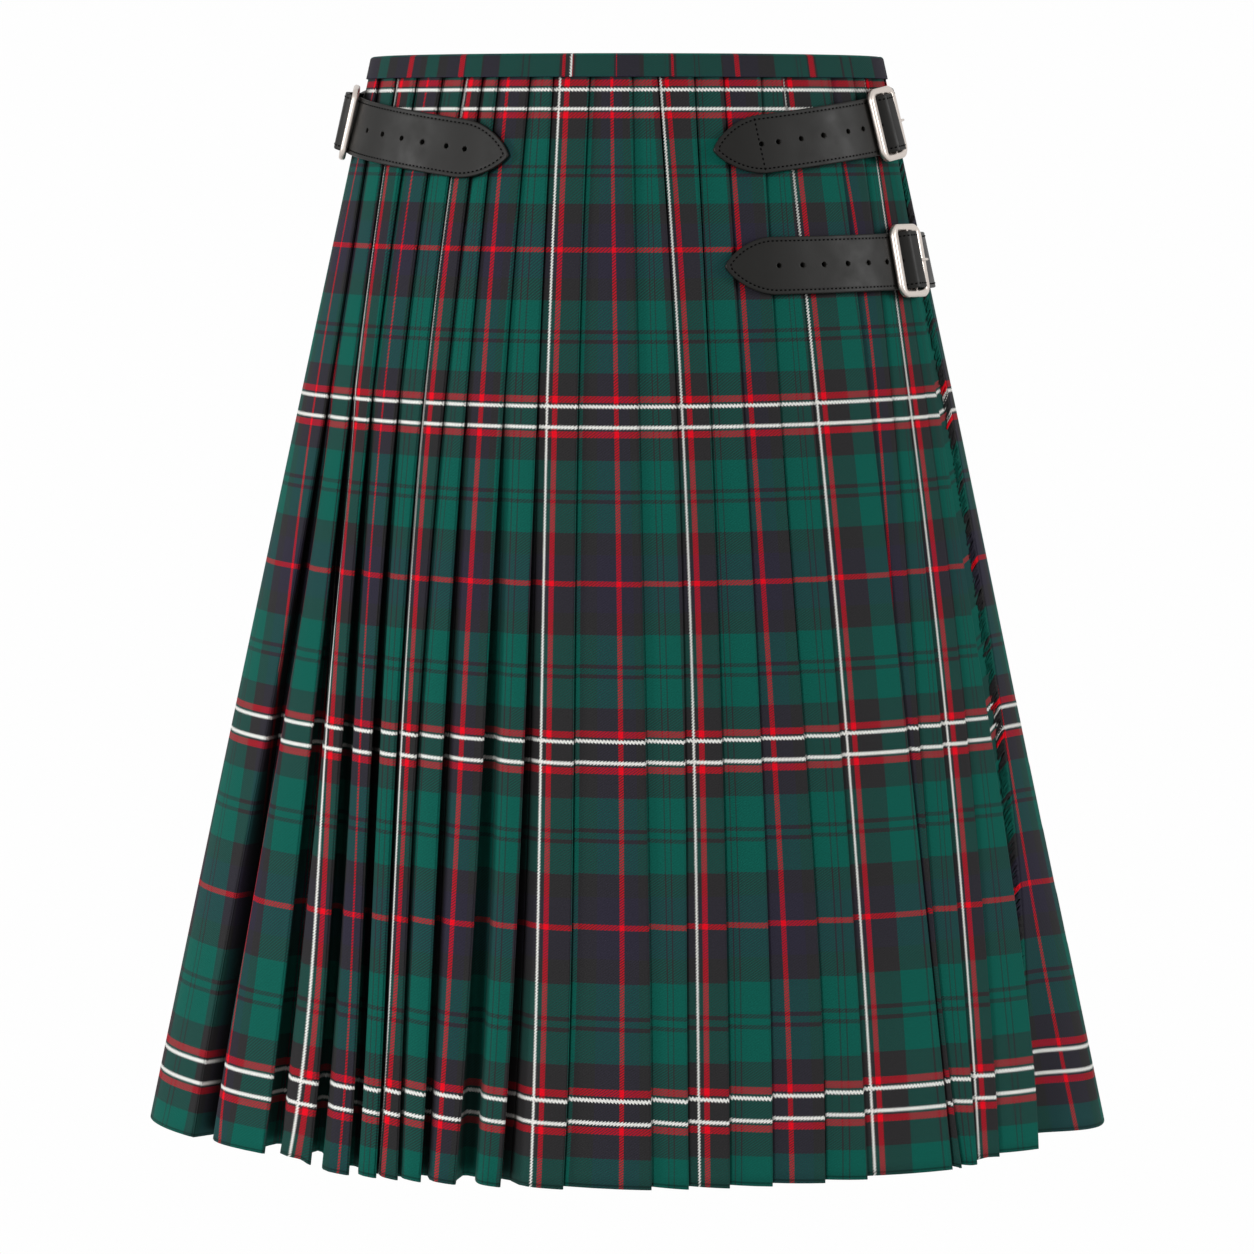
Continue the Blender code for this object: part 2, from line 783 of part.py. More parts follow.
def add_strap(row, looks, parts, cutters):
    """One strap with its buckle, prong and chape."""
    name = row.name
    line = StrapLine(row)
    seat = Matrix.Translation((0.0, 0.0, BUCKLE_RISE))
    lean = Matrix.Rotation(math.radians(-BUCKLE_LEAN), 4, "Y")
    buckle_place = line.frame @ seat @ lean

    buckle = add_object(f"buckle_{name}", buckle_mesh(parts), looks["nickel"], parts)
    buckle.matrix_world = buckle_place
    prong = add_object(f"prong_{name}", prong_mesh(parts, PRONG / 2), looks["nickel"], parts)
    prong.matrix_world = buckle_place

    chape = add_object(f"chape_{name}", chape_mesh(line, BUCKLE_RISE), looks["leather"], parts)
    chape.matrix_world = line.frame
    half = CHAPE_SLOT / 2
    cut(chape, box_mesh((-0.008, -half, -0.004), (0.006, half, 0.012)), f"slot_{name}", cutters)

    strap = add_object(f"strap_{name}", strap_mesh(line), looks["leather"], parts)
    hole = cut(strap, prong_mesh(parts, PRONG / 2 + 0.0004), f"hole_{name}", cutters)
    hole.matrix_world = buckle_place


# ---------------------------------------------------------------- the kilt

def new_collection(name):
    """Empty collection in the scene."""
    made = bpy.data.collections.new(name)
    bpy.context.scene.collection.children.link(made)
    return made


def build():
    """Make every sub-part of the kilt."""
    for old in list(bpy.data.objects):
        bpy.data.objects.remove(old)
    parts = new_collection(COLLECTION)
    cutters = new_collection(CUTTERS)
    looks = {
        "tartan": material("tartan_wool", (0.012, 0.085, 0.065), 0.85),
        "leather": material("black_leather", (0.006, 0.006, 0.007), 0.45),
        "nickel": material("satin_nickel", (0.60, 0.58, 0.55), 0.35, 1.0),
    }
    cloth = (
        ("over_apron", wall(over_apron_rows(), CLOTH)),
        ("pleated_back", wall(pleated_back_rows(), CLOTH)),
        ("under_apron", wall(under_apron_rows(), CLOTH)),
        ("apron_fringe", fringe_mesh()),
        ("waistband_outer", band_mesh(EDGE[0], BAND_SPLIT)),
        ("waistband_inner", band_mesh(BAND_SPLIT + BAND_BUTT, UNDER_EDGE)),
    )
    for name, mesh in cloth:
        add_object(name, mesh, looks["tartan"], parts)
    for row in STRAPS:
        add_strap(row, looks, parts, cutters)


build()
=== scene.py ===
"""Scottish kilt, worn: the cloth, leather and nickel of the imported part, in metres.

World frame: +Z up, -Y to the pleated back, +Y to the aprons at the wearer's front, +X to
the wearer's right, origin in the middle of the waist. An angle of 0 degrees is the centre
back and 90 the wearer's right hip. Depth goes inward from the outer layer of cloth, and
drop down the cloth from the top edge.
"""

import math
from collections import namedtuple

import bmesh
import bpy
import numpy as np
from mathutils import Matrix, Vector


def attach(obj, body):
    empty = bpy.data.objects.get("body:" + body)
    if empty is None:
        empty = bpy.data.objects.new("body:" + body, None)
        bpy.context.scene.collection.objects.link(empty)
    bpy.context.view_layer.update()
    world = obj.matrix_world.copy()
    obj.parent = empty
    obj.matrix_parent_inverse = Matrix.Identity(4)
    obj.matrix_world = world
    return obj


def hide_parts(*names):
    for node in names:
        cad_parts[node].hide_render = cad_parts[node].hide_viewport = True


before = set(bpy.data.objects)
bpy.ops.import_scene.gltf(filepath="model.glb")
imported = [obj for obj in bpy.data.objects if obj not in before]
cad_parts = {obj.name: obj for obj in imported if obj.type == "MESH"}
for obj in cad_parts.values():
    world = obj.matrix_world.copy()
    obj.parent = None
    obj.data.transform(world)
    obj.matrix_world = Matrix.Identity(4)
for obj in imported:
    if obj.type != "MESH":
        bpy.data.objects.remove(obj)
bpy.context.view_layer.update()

MM = 0.001

# ------------------------------------------------------------------ sizes of the form

HIP_DROP = 0.206
MIDDLE_DROP = 0.39
KILT_DROP = 0.624
FELL_DROP = 0.19
TOP_HEIGHT = 0.006
CLOTH_TOP = 0.0015
# How much higher the hem is at the left and right of the back, from which drop down, and
# past which angles: it sets in over a few degrees and ends toward the front
HEM_LIFTS = (0.0055, 0.003)
LIFT_FROM = 0.594
LIFT_LEFT_OF = -38.0
LIFT_RIGHT_OF = 44.0
LIFT_BLEND = 4.0
LIFT_END = 140.0
LIFT_END_BLEND = 40.0
# The solids' walls are 1.2 mm; the worsted itself is finer
WALL = 0.0012
CLOTH = 0.0009
# Depth from one layer of cloth to the next
LAYER = 0.0013

# Half the width, and the reach toward the back and the front, at waist, hip and hem
FORM_DROPS = (0.0, HIP_DROP, KILT_DROP)
HALF_WIDTHS = (0.1435, 0.1873, 0.2745)
BACKS = (0.098, 0.124, 0.142)
FRONTS = (0.094, 0.108, 0.138)

# Angle of each pleat's fold at waist, hip, middle and hem, then how far it stands open at
# the hem, in and sideways (mm)
FOLD_DROPS = (0.0, HIP_DROP, MIDDLE_DROP, KILT_DROP)
Pleat = namedtuple("Pleat", "waist hip middle hem open_in open_side")
PLEATS = tuple(Pleat(*row) for row in (
    (-74.4, -65.2, -63.9, -63.5, 11, 0),
    (-63.1, -56.3, -51.4, -47.9, 12, 0),
    (-53.5, -50.2, -44.7, -40.1, 10, 0),
    (-44.6, -43.2, -38.9, -34.3, 8, 0),
    (-38.1, -37.7, -34.5, -30.5, 1, 0),
    (-33.2, -33.1, -31.0, -27.6, 1, 0),
    (-29.1, -28.7, -26.8, -24.6, 6, 0),
    (-21.5, -21.6, -20.6, -20.3, 10, 7),
    (-16.3, -15.5, -14.6, -14.8, 7, 3),
    (-8.1, -8.4, -7.5, -7.4, 0, 0),
    (0.9, 1.9, 2.6, 2.8, 0, 0),
    (6.2, 8.4, 8.1, 7.1, 0, 0),
    (14.5, 14.2, 13.4, 11.9, 0, 0),
    (21.2, 20.1, 19.1, 17.0, 0, 0),
    (30.6, 26.9, 25.8, 23.5, 0, 0),
    (36.3, 33.5, 31.6, 29.0, 0, 0),
    (51.0, 46.6, 43.8, 41.3, 0, 0),
    (60.0, 52.4, 46.1, 42.8, 0, 0),
    (65.7, 57.2, 51.2, 45.4, 0, 0),
    (69.7, 64.0, 57.5, 49.5, 0, 0),
    (83.0, 69.9, 65.0, 57.6, 19, 0),
))
# How far back a fold's hidden return runs, at most this share of the pleat's width
FOLD_DEPTH = 0.012
FOLD_SHARE = 0.6
# How far beside its fold the next pleat comes out
FOLD_STEP = 0.0012
OPEN_POWER = 0.8

# The over apron's free edge, angles as for a fold
EDGE = (89.0, 78.6, 72.6, 58.5)
# How far it tucks in at the hem and how late, how much shorter the corner is, and how far
# round the apron both reach
EDGE_DIP = 0.015
DIP_LATE = 2.2
EDGE_LIFT = 0.005
EDGE_REACH = 0.060
# The under apron: its free edge's angle, how deep it lies inside the over apron at the
# top and further down, the drops between which that changes, and how much shorter it is
UNDER_EDGE = 624.0
UNDER_TOP = 0.0053
UNDER_LOW = 0.0013
UNDER_BLEND = (0.014, 0.11)
UNDER_LIFT = 0.004
# The pleated back goes on this far past its last fold
BACK_TAIL = 0.024
OVER_COLUMNS = 110
UNDER_COLUMNS = 70
# How much closer the columns are at an apron's two ends
COLUMN_CROWDING = 0.09
SEAM = 0.0003

# Waistband: thickness of its cloth, its height, depths of its outer and inner walls, the
# angles between which it widens and dives under the over apron, and where it is parted
BAND = 0.001
BAND_HEIGHT = 0.0125
BAND_OUT = -0.0011
BAND_IN_APRON = 0.0019
BAND_IN_BACK = 0.0077
BAND_WIDEN = (267.0, 280.0)
BAND_DIVE = (445.0, 451.0)
BAND_SPLIT = 452.0
BAND_BUTT = 0.17
BAND_STEP = 0.4
BAND_TURN = 0.0012
# Its rows up the outside above a narrow lip, those round the top, and those down the
# inside; the first and last are shares of its height
BAND_LIP = 0.0006
BAND_OUTSIDE = (0.8, 0.6, 0.4, 0.22)
BAND_TURNS = 7
BAND_INSIDE = (0.3, 0.65, 1.0)
# The drop whose weft the binding shows
BAND_WEFT = 0.0815
# The binding was cut on its own: where its colours lie over the pleats, as an angle and
# the place in the sett (mm) there, which turns back at the red line (93)
BAND_CHART = (
    (-75, 91.3), (-73, 91.3), (-71.6, 64.4), (-66.5, 48), (-65.9, 64.4), (-56.5, 91.3),
    (-55.4, 93), (-54.3, 91.3), (-49.6, 64.4), (-46.2, 50), (-45.9, 64.4), (-39.5, 91.3),
    (-38.7, 93), (-37.8, 91.3), (-37.6, 64.4), (-33.7, 50), (-32.8, 78), (-29, 90.5),
    (-28.8, 64.4), (-23.3, 47.7), (-21.4, 41), (-14.5, 24.3), (-14.3, 11.5), (-13.4, 7.7),
    (-12.5, 6.8), (-11.7, 4.8), (-11.4, 24.3), (-2.8, 41), (-2.7, 91.3), (-2.45, 93),
    (-2.2, 91.3), (2.8, 77), (3.6, 64.4), (8.1, 50), (9.5, 11.5), (10.2, 7.7), (10.5, 24.3),
    (14.6, 41.2), (15.9, 48), (20.9, 64.4), (21.2, 77), (23.8, 91.3), (24.5, 93), (25.2, 91.3),
    (29.7, 77), (34, 64.4), (39.9, 47.7), (41.4, 41), (43.2, 24.3), (43.4, 11.5), (45.3, 7.7),
    (45.7, 24.3), (54.2, 41), (59.3, 47.7), (70.4, 64.4), (70.8, 77), (86.2, 90),
)

# Fringe: locks of a few strands of yarn that cover the solid's strip and go on past it,
# from below the binding to just above the hem
FRINGE_BAND = 0.003
FRINGE_LENGTH = 0.0065
FRINGE_FIRST = BAND_HEIGHT + 0.004
FRINGE_LAST = KILT_DROP - 0.001
FRINGE_LOCKS = 400
FRINGE_STRANDS = 4
FRINGE_FALL = 0.005
FRINGE_YARN = 0.00040
FRINGE_SINK = 0.0007
FRINGE_SHARES = (0.0, 0.35, 0.7, 1.0)
FRINGE_SIDES = 4
# How unlike the locks are in fall and length, and the strands in tip and bow
FALL_SPREAD = 0.2
LENGTH_SPREAD = 0.10
TIP_SPREAD = 0.0007
BOW_SPREAD = 0.0004
# How late a strand droops, how much it thins, and the least drop it may reach
FRINGE_DROOP = 1.3
FRINGE_THINS = 0.6
FRINGE_HIGHEST = 0.001
FRINGE_SEED = 7

# The studio: camera, softboxes (name, place, size, watts), floor, and how much of its
# white walls lights the cloth and shows in polished metal
CAMERA_AT = (0.0, -3.2, -0.063)
CAMERA_LENS = 161.36
CAMERA_SENSOR = 36.0
CAMERA_SLOPE = 447 / 5619
LIGHTS = (
    ("key", (-1.6, -2.7, 0.5), (0.6, 0.8), 46.0),
    ("left", (-2.6, -0.6, 0.4), (0.5, 1.0), 26.0),
    ("right", (2.6, -0.8, 0.5), (0.8, 1.2), 34.0),
)
LIT_SPOT = (0.0, 0.0, -0.3)
FLOOR = -0.9
FLOOR_RADIUS = 1.1
AMBIENT = 0.22
MIRRORED = 0.85

# Straps: the leather, its beaded edge, and the groove that the stitches lie in
LEATHER = 0.0022
STRAP_WIDTH = 0.032
STRAP_TAPER = 0.028
STRAP_BLUNT = 0.0008
# The tip's outline: how full it is toward the sides and toward the point
TIP_SIDES = 1.9
TIP_POINT = 0.75
STRAP_COLUMNS = 61
# Cross sections by distance from the tip: from, to and how many, then one at every step
TIP_SECTIONS = (0.0, 0.004, 12)
SHOULDER_SECTIONS = (0.005, 0.03, 34)
BODY_FROM = 0.031
BODY_STEP = 0.0011
BEAD_ROUND = 0.0008
BEAD_RISE = 0.7
GROOVE_IN = 0.0024
GROOVE_HALF = 0.0005
GROOVE_DEEP = 0.00015
SURFACE = -WALL / 2
# Centre bars' places; a strap runs free past its bar to the tip, its tail behind it, and
# gains slope metres of drop for each metre toward the tip; holes by run from the bar
Strap = namedtuple("Strap", "name angle drop tip_side free tail slope holes")
STRAPS = (
    Strap("waist_right", 68.0, 0.0395, -1, 0.115, 0.062, 0.12,
          (0.0883, 0.0785, 0.0647, 0.0509, 0.034, 0.0223, 0.009)),
    Strap("hip_right", 65.5, 0.1172, -1, 0.1195, 0.066, 0.0,
          (0.0892, 0.0753, 0.0622, 0.0474, 0.0333, 0.0192, 0.009)),
    Strap("waist_left", 274.5, 0.0385, 1, 0.130, 0.034, 0.137,
          (0.105, 0.0937, 0.078, 0.0632, 0.0483, 0.0337)),
)
# A hole's width, and its radius at the back and the face in shares of that
HOLE = 0.0025
HOLE_BACK = 0.35
HOLE_FACE = 0.65
# Run of the seam that joins the upper right strap's lining, square to its edges
CROSS_SEAM = 0.0893
STITCH_PITCH = 0.0026
STITCH_LENGTH = 0.0016
STITCH_THREAD = 0.0009
STITCH_TIP = (0.0, 0.03, 90)
STITCH_STEP = 0.002
STITCH_END = 0.003

# Buckles: the full frame, its bars, its windows and how it stands off the cloth
BUCKLE_HEIGHT = 0.0415
BUCKLE_WIDTH = 0.033
BUCKLE_BAR = 0.0058
BUCKLE_RAIL = 0.0044
BUCKLE_THICKNESS = 0.0038
BUCKLE_BEVEL = 0.0016
BUCKLE_CORNER = 0.006
FRAME_ARC = 8
WINDOW_CORNER = 0.0024
WINDOW_ARC = 6
CENTRE_BAR = 0.0022
BUCKLE_RISE = 0.0052
BUCKLE_LEAN = 3.0
# The strap's lift off the cloth, and its hump over the centre bar
STRAP_REST = 0.0008
BULGE = 0.0086
HUMP_REACH = 0.0110
HUMP_RISE = 0.0088
PRONG = 0.0017
CHAPE = 0.001
CHAPE_LENGTH = 0.036
CHAPE_GAP = 0.0005
CHAPE_SLOPE = 0.035
# The strap comes off the buckle more gently on its tail's side
TAIL_STRETCH = 1.25

# ------------------------------------------------------------------ tartan

# Half of the sett, millimetres from the middle of the white pair to the red line: where
# each colour starts. The whole sett is this and its mirror image
HALF_SETT = 93.0
SETT = (
    (0.0, "black"), (7.7, "red"), (11.5, "black"), (24.3, "green"), (64.4, "black"),
    (77.0, "navy"), (91.3, "red"),
)
# Two black lines in the green, which are wider in the weft
LINES_AT = (41.7, 47.0)
WARP_LINE = 1.1
WEFT_LINE = 2.1
WHITE_AT = 5.8
# A white line's narrowest width, how fast its floats widen it, and their pitch (mm)
WARP_WHITE = (0.1, 1.1, 1.7)
WEFT_WHITE = (0.7, 1.1, 1.9)
# Drops, from the top edge to the hem, of the middles of the white weft pairs and of the
# red wefts between them, and their places in the sett
WEFT_DROPS = (0.0, 0.0251, 0.1075, 0.1992, 0.2904, 0.3826, 0.479, 0.5815, KILT_DROP)
WEFT_SETTS = (-26.8, 0.0, 93.0, 186.0, 279.0, 372.0, 465.0, 558.0, 598.0)
# Pitch of the twill's ribs (mm)
TWILL = 2.1
# Range of a rib's height over which weft gives way to warp, and the warp's share there
RIB_BLEND = ((0.3, 0.7), (0.24, 0.76))
# What darkens and lightens the cloth: from what range of a value to what range of shade:
# the fibres' own uneven tone, and painted shade in the twill's grooves and between the pleats
FIBRE_SHADE = ((0.25, 0.75), (0.74, 1.24))
RIB_SHADE = ((0.0, 0.35), (0.80, 1.0))
FOLD_SHADE = ((0.2, 0.65), (0.04, 1.0))
# How far round it a fold's painted shade reaches
FOLD_DARK = 0.012
WHITE_COVER = 0.93
# A thin band just above the hem is painted darker: painted shade of a groove there
HEM_LINE_UP = 1.8
HEM_LINE = 0.5
HEM_LINE_SHADE = -0.45
YARN = 0.7

THREADS = {
    "green": "#0A5C50",
    "black": "#2E2D2E",
    "navy": "#2F2C3A",
    "red": "#F00A22",
    "white": "#F8F7F2",
}


# ------------------------------------------------------------------ the form

def through(values, drops, drop):
    """Smooth curve through the values given at some drops, read at a drop."""
    total = 0.0
    for own, value in zip(drops, values):
        share = value
        for other in drops:
            if other != own:
                share = share * (drop - other) / (own - other)
        total = total + share
    return total


def half_sizes(angle, drop):
    """Half width, and reach toward the back or the front, of the ring at a drop."""
    is_back = np.cos(np.radians(angle)) > 0
    reach = np.where(is_back, through(BACKS, FORM_DROPS, drop),
                     through(FRONTS, FORM_DROPS, drop))
    return through(HALF_WIDTHS, FORM_DROPS, drop), reach


def ring_speed(angle, drop):
    """Metres along the ring for each degree."""
    width, reach = half_sizes(angle, drop)
    turn = np.radians(angle)
    return np.hypot(width * np.cos(turn), reach * np.sin(turn)) * math.pi / 180


def walk(angle, drop, distance):
    """Angles reached by going a distance along the ring."""
    angle = angle + 0.0 * np.asarray(distance)
    steps = max(1, int(np.ceil(np.max(np.abs(distance)) / (2 * MM))))
    for _ in range(steps):
        angle = angle + distance / steps / ring_speed(angle, drop)
    return angle


def ease(value):
    """Smooth step from 0 to 1."""
    value = np.clip(value, 0.0, 1.0)
    return value * value * (3.0 - 2.0 * value)


def lifted(angle, drop):
    """Drop with the hem a little higher at the two sides of the back."""
    low = np.clip((drop - LIFT_FROM) / (KILT_DROP - LIFT_FROM), 0.0, 1.0)
    turn = (angle + 180.0) % 360.0 - 180.0
    left = HEM_LIFTS[0] * ease((LIFT_LEFT_OF - turn) / LIFT_BLEND)
    right = HEM_LIFTS[1] * ease((turn - LIFT_RIGHT_OF) / LIFT_BLEND)
    return drop - low * (left + right) * ease((LIFT_END - np.abs(turn)) / LIFT_END_BLEND)


def place(angle, drop, depth=0.0, along=0.0):
    """Points at a depth inside the outer layer, shifted along the ring."""
    if np.any(along):
        angle = walk(angle, drop, along)
    drop = lifted(angle, drop)
    turn = np.radians(angle)
    width, reach = half_sizes(angle, drop)
    x, y = width * np.sin(turn), -reach * np.cos(turn)
    out_x, out_y = np.sin(turn) / width, -np.cos(turn) / reach
    size = np.hypot(out_x, out_y)
    top_width, top_reach = half_sizes(angle, 0.0)
    hem_width, hem_reach = half_sizes(angle, KILT_DROP)
    spread = np.hypot((hem_width - top_width) * np.sin(turn),
                      (hem_reach - top_reach) * np.cos(turn)) / KILT_DROP
    z = TOP_HEIGHT - drop * np.sqrt(1.0 - spread * spread)
    parts = np.broadcast_arrays(x - out_x / size * depth, y - out_y / size * depth, z)
    return np.stack(parts, axis=-1)


def cloth_normal(angle, drop):
    """Directions square to the outside of the cloth."""
    fall = place(angle, drop + MM) - place(angle, drop - MM)
    along = place(angle + 0.5, drop) - place(angle - 0.5, drop)
    normal = np.cross(fall, along)
    normal /= np.linalg.norm(normal, axis=-1, keepdims=True)
    turn = np.radians(angle)
    outside = normal[..., 0] * np.sin(turn) - normal[..., 1] * np.cos(turn)
    return np.where((outside > 0)[..., None], normal, -normal)


def sett_down(drop):
    """Place in the sett, metres, of the weft at a drop."""
    return np.interp(drop, WEFT_DROPS, WEFT_SETTS) * MM


# ------------------------------------------------------------------ tartan across the pleats

# Where the warp's colours lie on each pleat's face: a place in the sett (mm), then how far
# across the face it is at waist, hip, middle and hem, in hundredths. The pleats show
# different stretches of the sett, so this is a chart given pleat by pleat
Stripe = namedtuple("Stripe", "sett waist hip middle hem")
CHARTS = tuple(tuple(Stripe(*row) for row in rows) for rows in (
    ((91.3, -90, 0, 18, 38), (94.7, -80, 9, 24, 44), (121.6, 40, 14, 42, 58),
     (137, 98, 88, 96, 96)),
    ((-3, -60, -50, 5, 5), (4.8, -10, -2, 42, 51), (6.8, 10, 12, 54, 61), (7.7, 22, 20, 60, 66),
     (11.5, 42, 42, 76, 80), (24.3, 78, 92, 108, 112)),
    ((64.4, 0, 5, 5, 28), (91.3, 46, 42, 61, 71), (94.7, 54, 50, 68, 78),
     (112, 99, 100, 100, 100)),
    ((121.6, -51, -35, -11, 9), (138.3, 15, 34, 46, 51), (145, 49, 67, 78, 78),
     (158, 100, 100, 100, 100)),
    ((4.8, -4, -12, 6, -14), (6.8, 18, 6, 26, 4), (7.7, 24, 22, 43, 10), (11.5, 54, 48, 66, 38),
     (22, 99, 100, 100, 100)),
    ((121.6, 20, -6, -20, -25), (138.3, 66, 28, 0, -2), (145, 82, 55, 25, 24),
     (159, 100, 100, 100, 100)),
    ((64.4, -16, -8, -12, -12), (91.3, 23, 32, 37, 35), (94.7, 34, 48, 52, 51),
     (121.6, 112, 90, 102, 105)),
    ((138.3, 16, 28, 34, 41), (145, 60, 56, 59, 64), (161.7, 103, 99, 95, 87),
     (175, 140, 116, 104, 100), (179, 160, 126, 113, 112)),
    ((-3, -40, -40, -35, -25), (4.8, 10, 16, 23, 39), (6.8, 21, 26, 32, 46),
     (7.7, 29, 34, 39, 52), (11.5, 45, 48, 51, 61), (24.3, 94, 99, 100, 101)),
    ((64.4, 9, 5, 5, 3), (91.3, 46, 59, 61, 62), (94.7, 54, 68, 69, 68),
     (121.6, 93, 101, 103, 102)),
    ((122, -8, -5, -5, -5), (138.3, 50, 34, 39, 42), (145, 68, 54, 60, 62), (161.7, 76, 86, 96, 98),
     (168, 104, 104, 122, 126)),
    ((4.8, -1, 8, 15, 19), (6.8, 9, 19, 26, 28), (7.7, 15, 27, 34, 36), (11.5, 26, 44, 50, 50),
     (24.3, 81, 95, 102, 103)),
    ((138.3, 6, 4, 10, 8), (145, 26, 26, 30, 27), (161.2, 82, 94, 101, 98)),
    ((91.3, 0, 12, 20, 29), (94.7, 12, 27, 33, 40), (121.6, 88, 100, 106, 110)),
    ((121.6, 5, -1, -1, -2), (138.3, 44, 49, 48, 37), (145, 70, 69, 71, 58),
     (162.5, 89, 94, 101, 97)),
    ((4.8, -4, 4, 6, 5), (6.8, 2, 10, 11, 10), (7.7, 6, 14, 15, 13), (11.5, 15, 22, 22, 19),
     (24.3, 46, 59, 58, 50), (41, 69, 96, 94, 87)),
    ((91.3, -22, 23, -45, -180), (94.7, -14, 35, -32, -150), (118, 43, 100, 97, 110)),
    ((121.8, 22, 15, 8, 7), (138.3, 40, 64, 53, 27), (145, 52, 92, 76, 72),
     (158, 99, 104, 100, 108)),
    ((4.8, 8, 12, 16, 4), (6.8, 22, 24, 27, 17), (7.7, 28, 30, 32, 25), (11.5, 50, 50, 50, 46),
     (24.3, 90, 100, 102, 103)),
    ((122, 16, 24, 11, 4), (138.3, 28, 50, 38, 42), (145, 33, 68, 59, 58), (160, 55, 106, 102, 99)),
))
# The over apron has its red lines beside the fringe and at its left end, this far (mm) from
# the edge and from the first fold, and whole setts between them
APRON_SETTS = 4
RED_FROM_EDGE = (-6.0, -6.0, 0.5, 38.0)
RED_FROM_FOLD = (-2.0, 12.5, -8.0, -22.0)


# ------------------------------------------------------------------ cloth columns

LEVEL_COUNT = 84
LEVELS = np.concatenate((
    np.linspace(CLOTH_TOP, 0.03, 4, endpoint=False),
    np.linspace(0.03, KILT_DROP, LEVEL_COUNT - 4),
))
FOLD_RADIUS = 0.0010
# Share of a fold's hidden return that is gone at the hem: of the sprung pleats, and of the
# over apron's own
SPRING_SHUT = (0.35, 1.0)
FOLD_ARC = np.linspace(0.0, 1.0, 6)
INNER_ARC = (0.25, 0.5, 0.75)
# A pleat's face is a little rounded, the less so the more it is shut
CROWN = 0.006
CROWN_SHUT = 0.4
# It dips where it comes out from under a fold; where it has sprung open the dip is
# steeper and the fold's way in is this many times as deep as the solid's
DIP_POWER = 2.0
SPRUNG_POWER = 3.5
SPRUNG_DEEPER = 1.7
# Columns up to its first stripe, crowded toward the dip
DIP_COLUMNS = 6
DIP_CROWDING = 1.5
# A pleat hangs a little askew below the fell: its fold this much lower than its start
PLEAT_LEAN = 0.0015
# Places in the sett (mm) where the back begins, and where its tail does past the last fold
START_SETT = 100.0
TAIL_SETT = 124.0
# How far the pleated back starts inside the over apron's own return
START_UNDER = 0.006
EMERGE = (0.3, 0.6, 0.85)
STRIPE_GAP = 0.02


def below_fell(drop):
    """0 down to the end of the fell, 1 at the hem."""
    return np.maximum(0.0, (drop - FELL_DROP) / (KILT_DROP - FELL_DROP))


def openness(drop):
    """How far the pleats have sprung open: 0 down to the end of the fell, 1 at the hem."""
    return below_fell(drop) ** OPEN_POWER


def fold_angle(pleat, drop):
    """Angle of a pleat's fold at a drop."""
    return through(PLEATS[pleat][:4], FOLD_DROPS, drop)


def fold_corners(pleat, drop, start_depth):
    """Depth and distance along of a fold's two corners, of the two corners of its hidden
    return, and of the place where the next panel comes out from under it."""
    spring = openness(drop)
    spring_in = spring * PLEATS[pleat].open_in * MM * SPRUNG_DEEPER
    under_face = 0.0 * drop
    if pleat == 0:
        under_face = spring_in
    if pleat == len(PLEATS) - 1:
        spring_in = over_depth(edge_angle(drop), drop) + SEAM
    open_side = PLEATS[pleat].open_side * MM * spring
    own_shut = SPRING_SHUT[1 if pleat == 0 else 0] if PLEATS[pleat].open_in else 0.0
    shut = 1.0 - spring * own_shut
    width = panel_width(pleat, drop)
    tilt = start_depth / width
    back = np.minimum(FOLD_DEPTH, FOLD_SHARE * width) * shut
    side = open_side - back
    zero = 0.0 * drop
    return (
        (zero, zero),
        (zero + LAYER, zero),
        (LAYER + tilt * back + under_face, side),
        (2 * LAYER + tilt * back + spring_in, side),
        (2 * LAYER + spring_in, FOLD_STEP + open_side),
    )


def panel_width(pleat, drop):
    """Width of the panel that ends at a fold."""
    if pleat == 0:
        return EDGE_REACH + 0.0 * drop
    own = fold_angle(pleat, drop)
    return (own - fold_angle(pleat - 1, drop)) * ring_speed(own, drop)


def bezier(corners, share):
    """Point of a cubic curve over four corners of (depth, along)."""
    weights = ((1 - share) ** 3, 3 * share * (1 - share) ** 2,
               3 * share ** 2 * (1 - share), share ** 3)
    return tuple(sum(w * c[axis] for w, c in zip(weights, corners)) for axis in (0, 1))


def toward(first, second, distance):
    """Point a distance from the first (depth, along) toward the second."""
    step = (second[0] - first[0], second[1] - first[1])
    size = np.maximum(np.hypot(*step), 2 * distance)
    return tuple(a + s * distance / size for a, s in zip(first, step))


def fold_columns(pleat, drop, start_depth):
    """Columns round a fold: its soft turn, the hidden return and the turn back, each with
    its share of the lean, and the place where the next panel comes out."""
    f0, f1, f2, f3, f4 = fold_corners(pleat, drop, start_depth)
    width = panel_width(pleat, drop)
    before = (start_depth * FOLD_RADIUS / width, 0.0 * drop - FOLD_RADIUS)
    after = toward(f1, f2, FOLD_RADIUS)
    angle = fold_angle(pleat, drop)
    spots = [bezier((before, f0, f1, after), share) for share in FOLD_ARC]
    spots.append(toward(f2, f1, 2 * FOLD_RADIUS))
    near, far = toward(f2, f1, FOLD_RADIUS), toward(f3, f4, FOLD_RADIUS)
    spots += [bezier((near, f2, f3, far), share) for share in INNER_ARC]
    leans = [0.5] * len(FOLD_ARC) + [-0.5] * (1 + len(INNER_ARC))
    return [(angle, *spot, lean) for spot, lean in zip(spots, leans)], f4


def stripe_places(pleat, drop):
    """Shares across a pleat's face of its charted stripes, one row for each stripe."""
    rows = [through(stripe[1:], FOLD_DROPS, drop) / 100 for stripe in CHARTS[pleat - 1]]
    for index in range(1, len(rows)):
        rows[index] = np.maximum(rows[index], rows[index - 1] + STRIPE_GAP / 2)
    return np.array(rows)


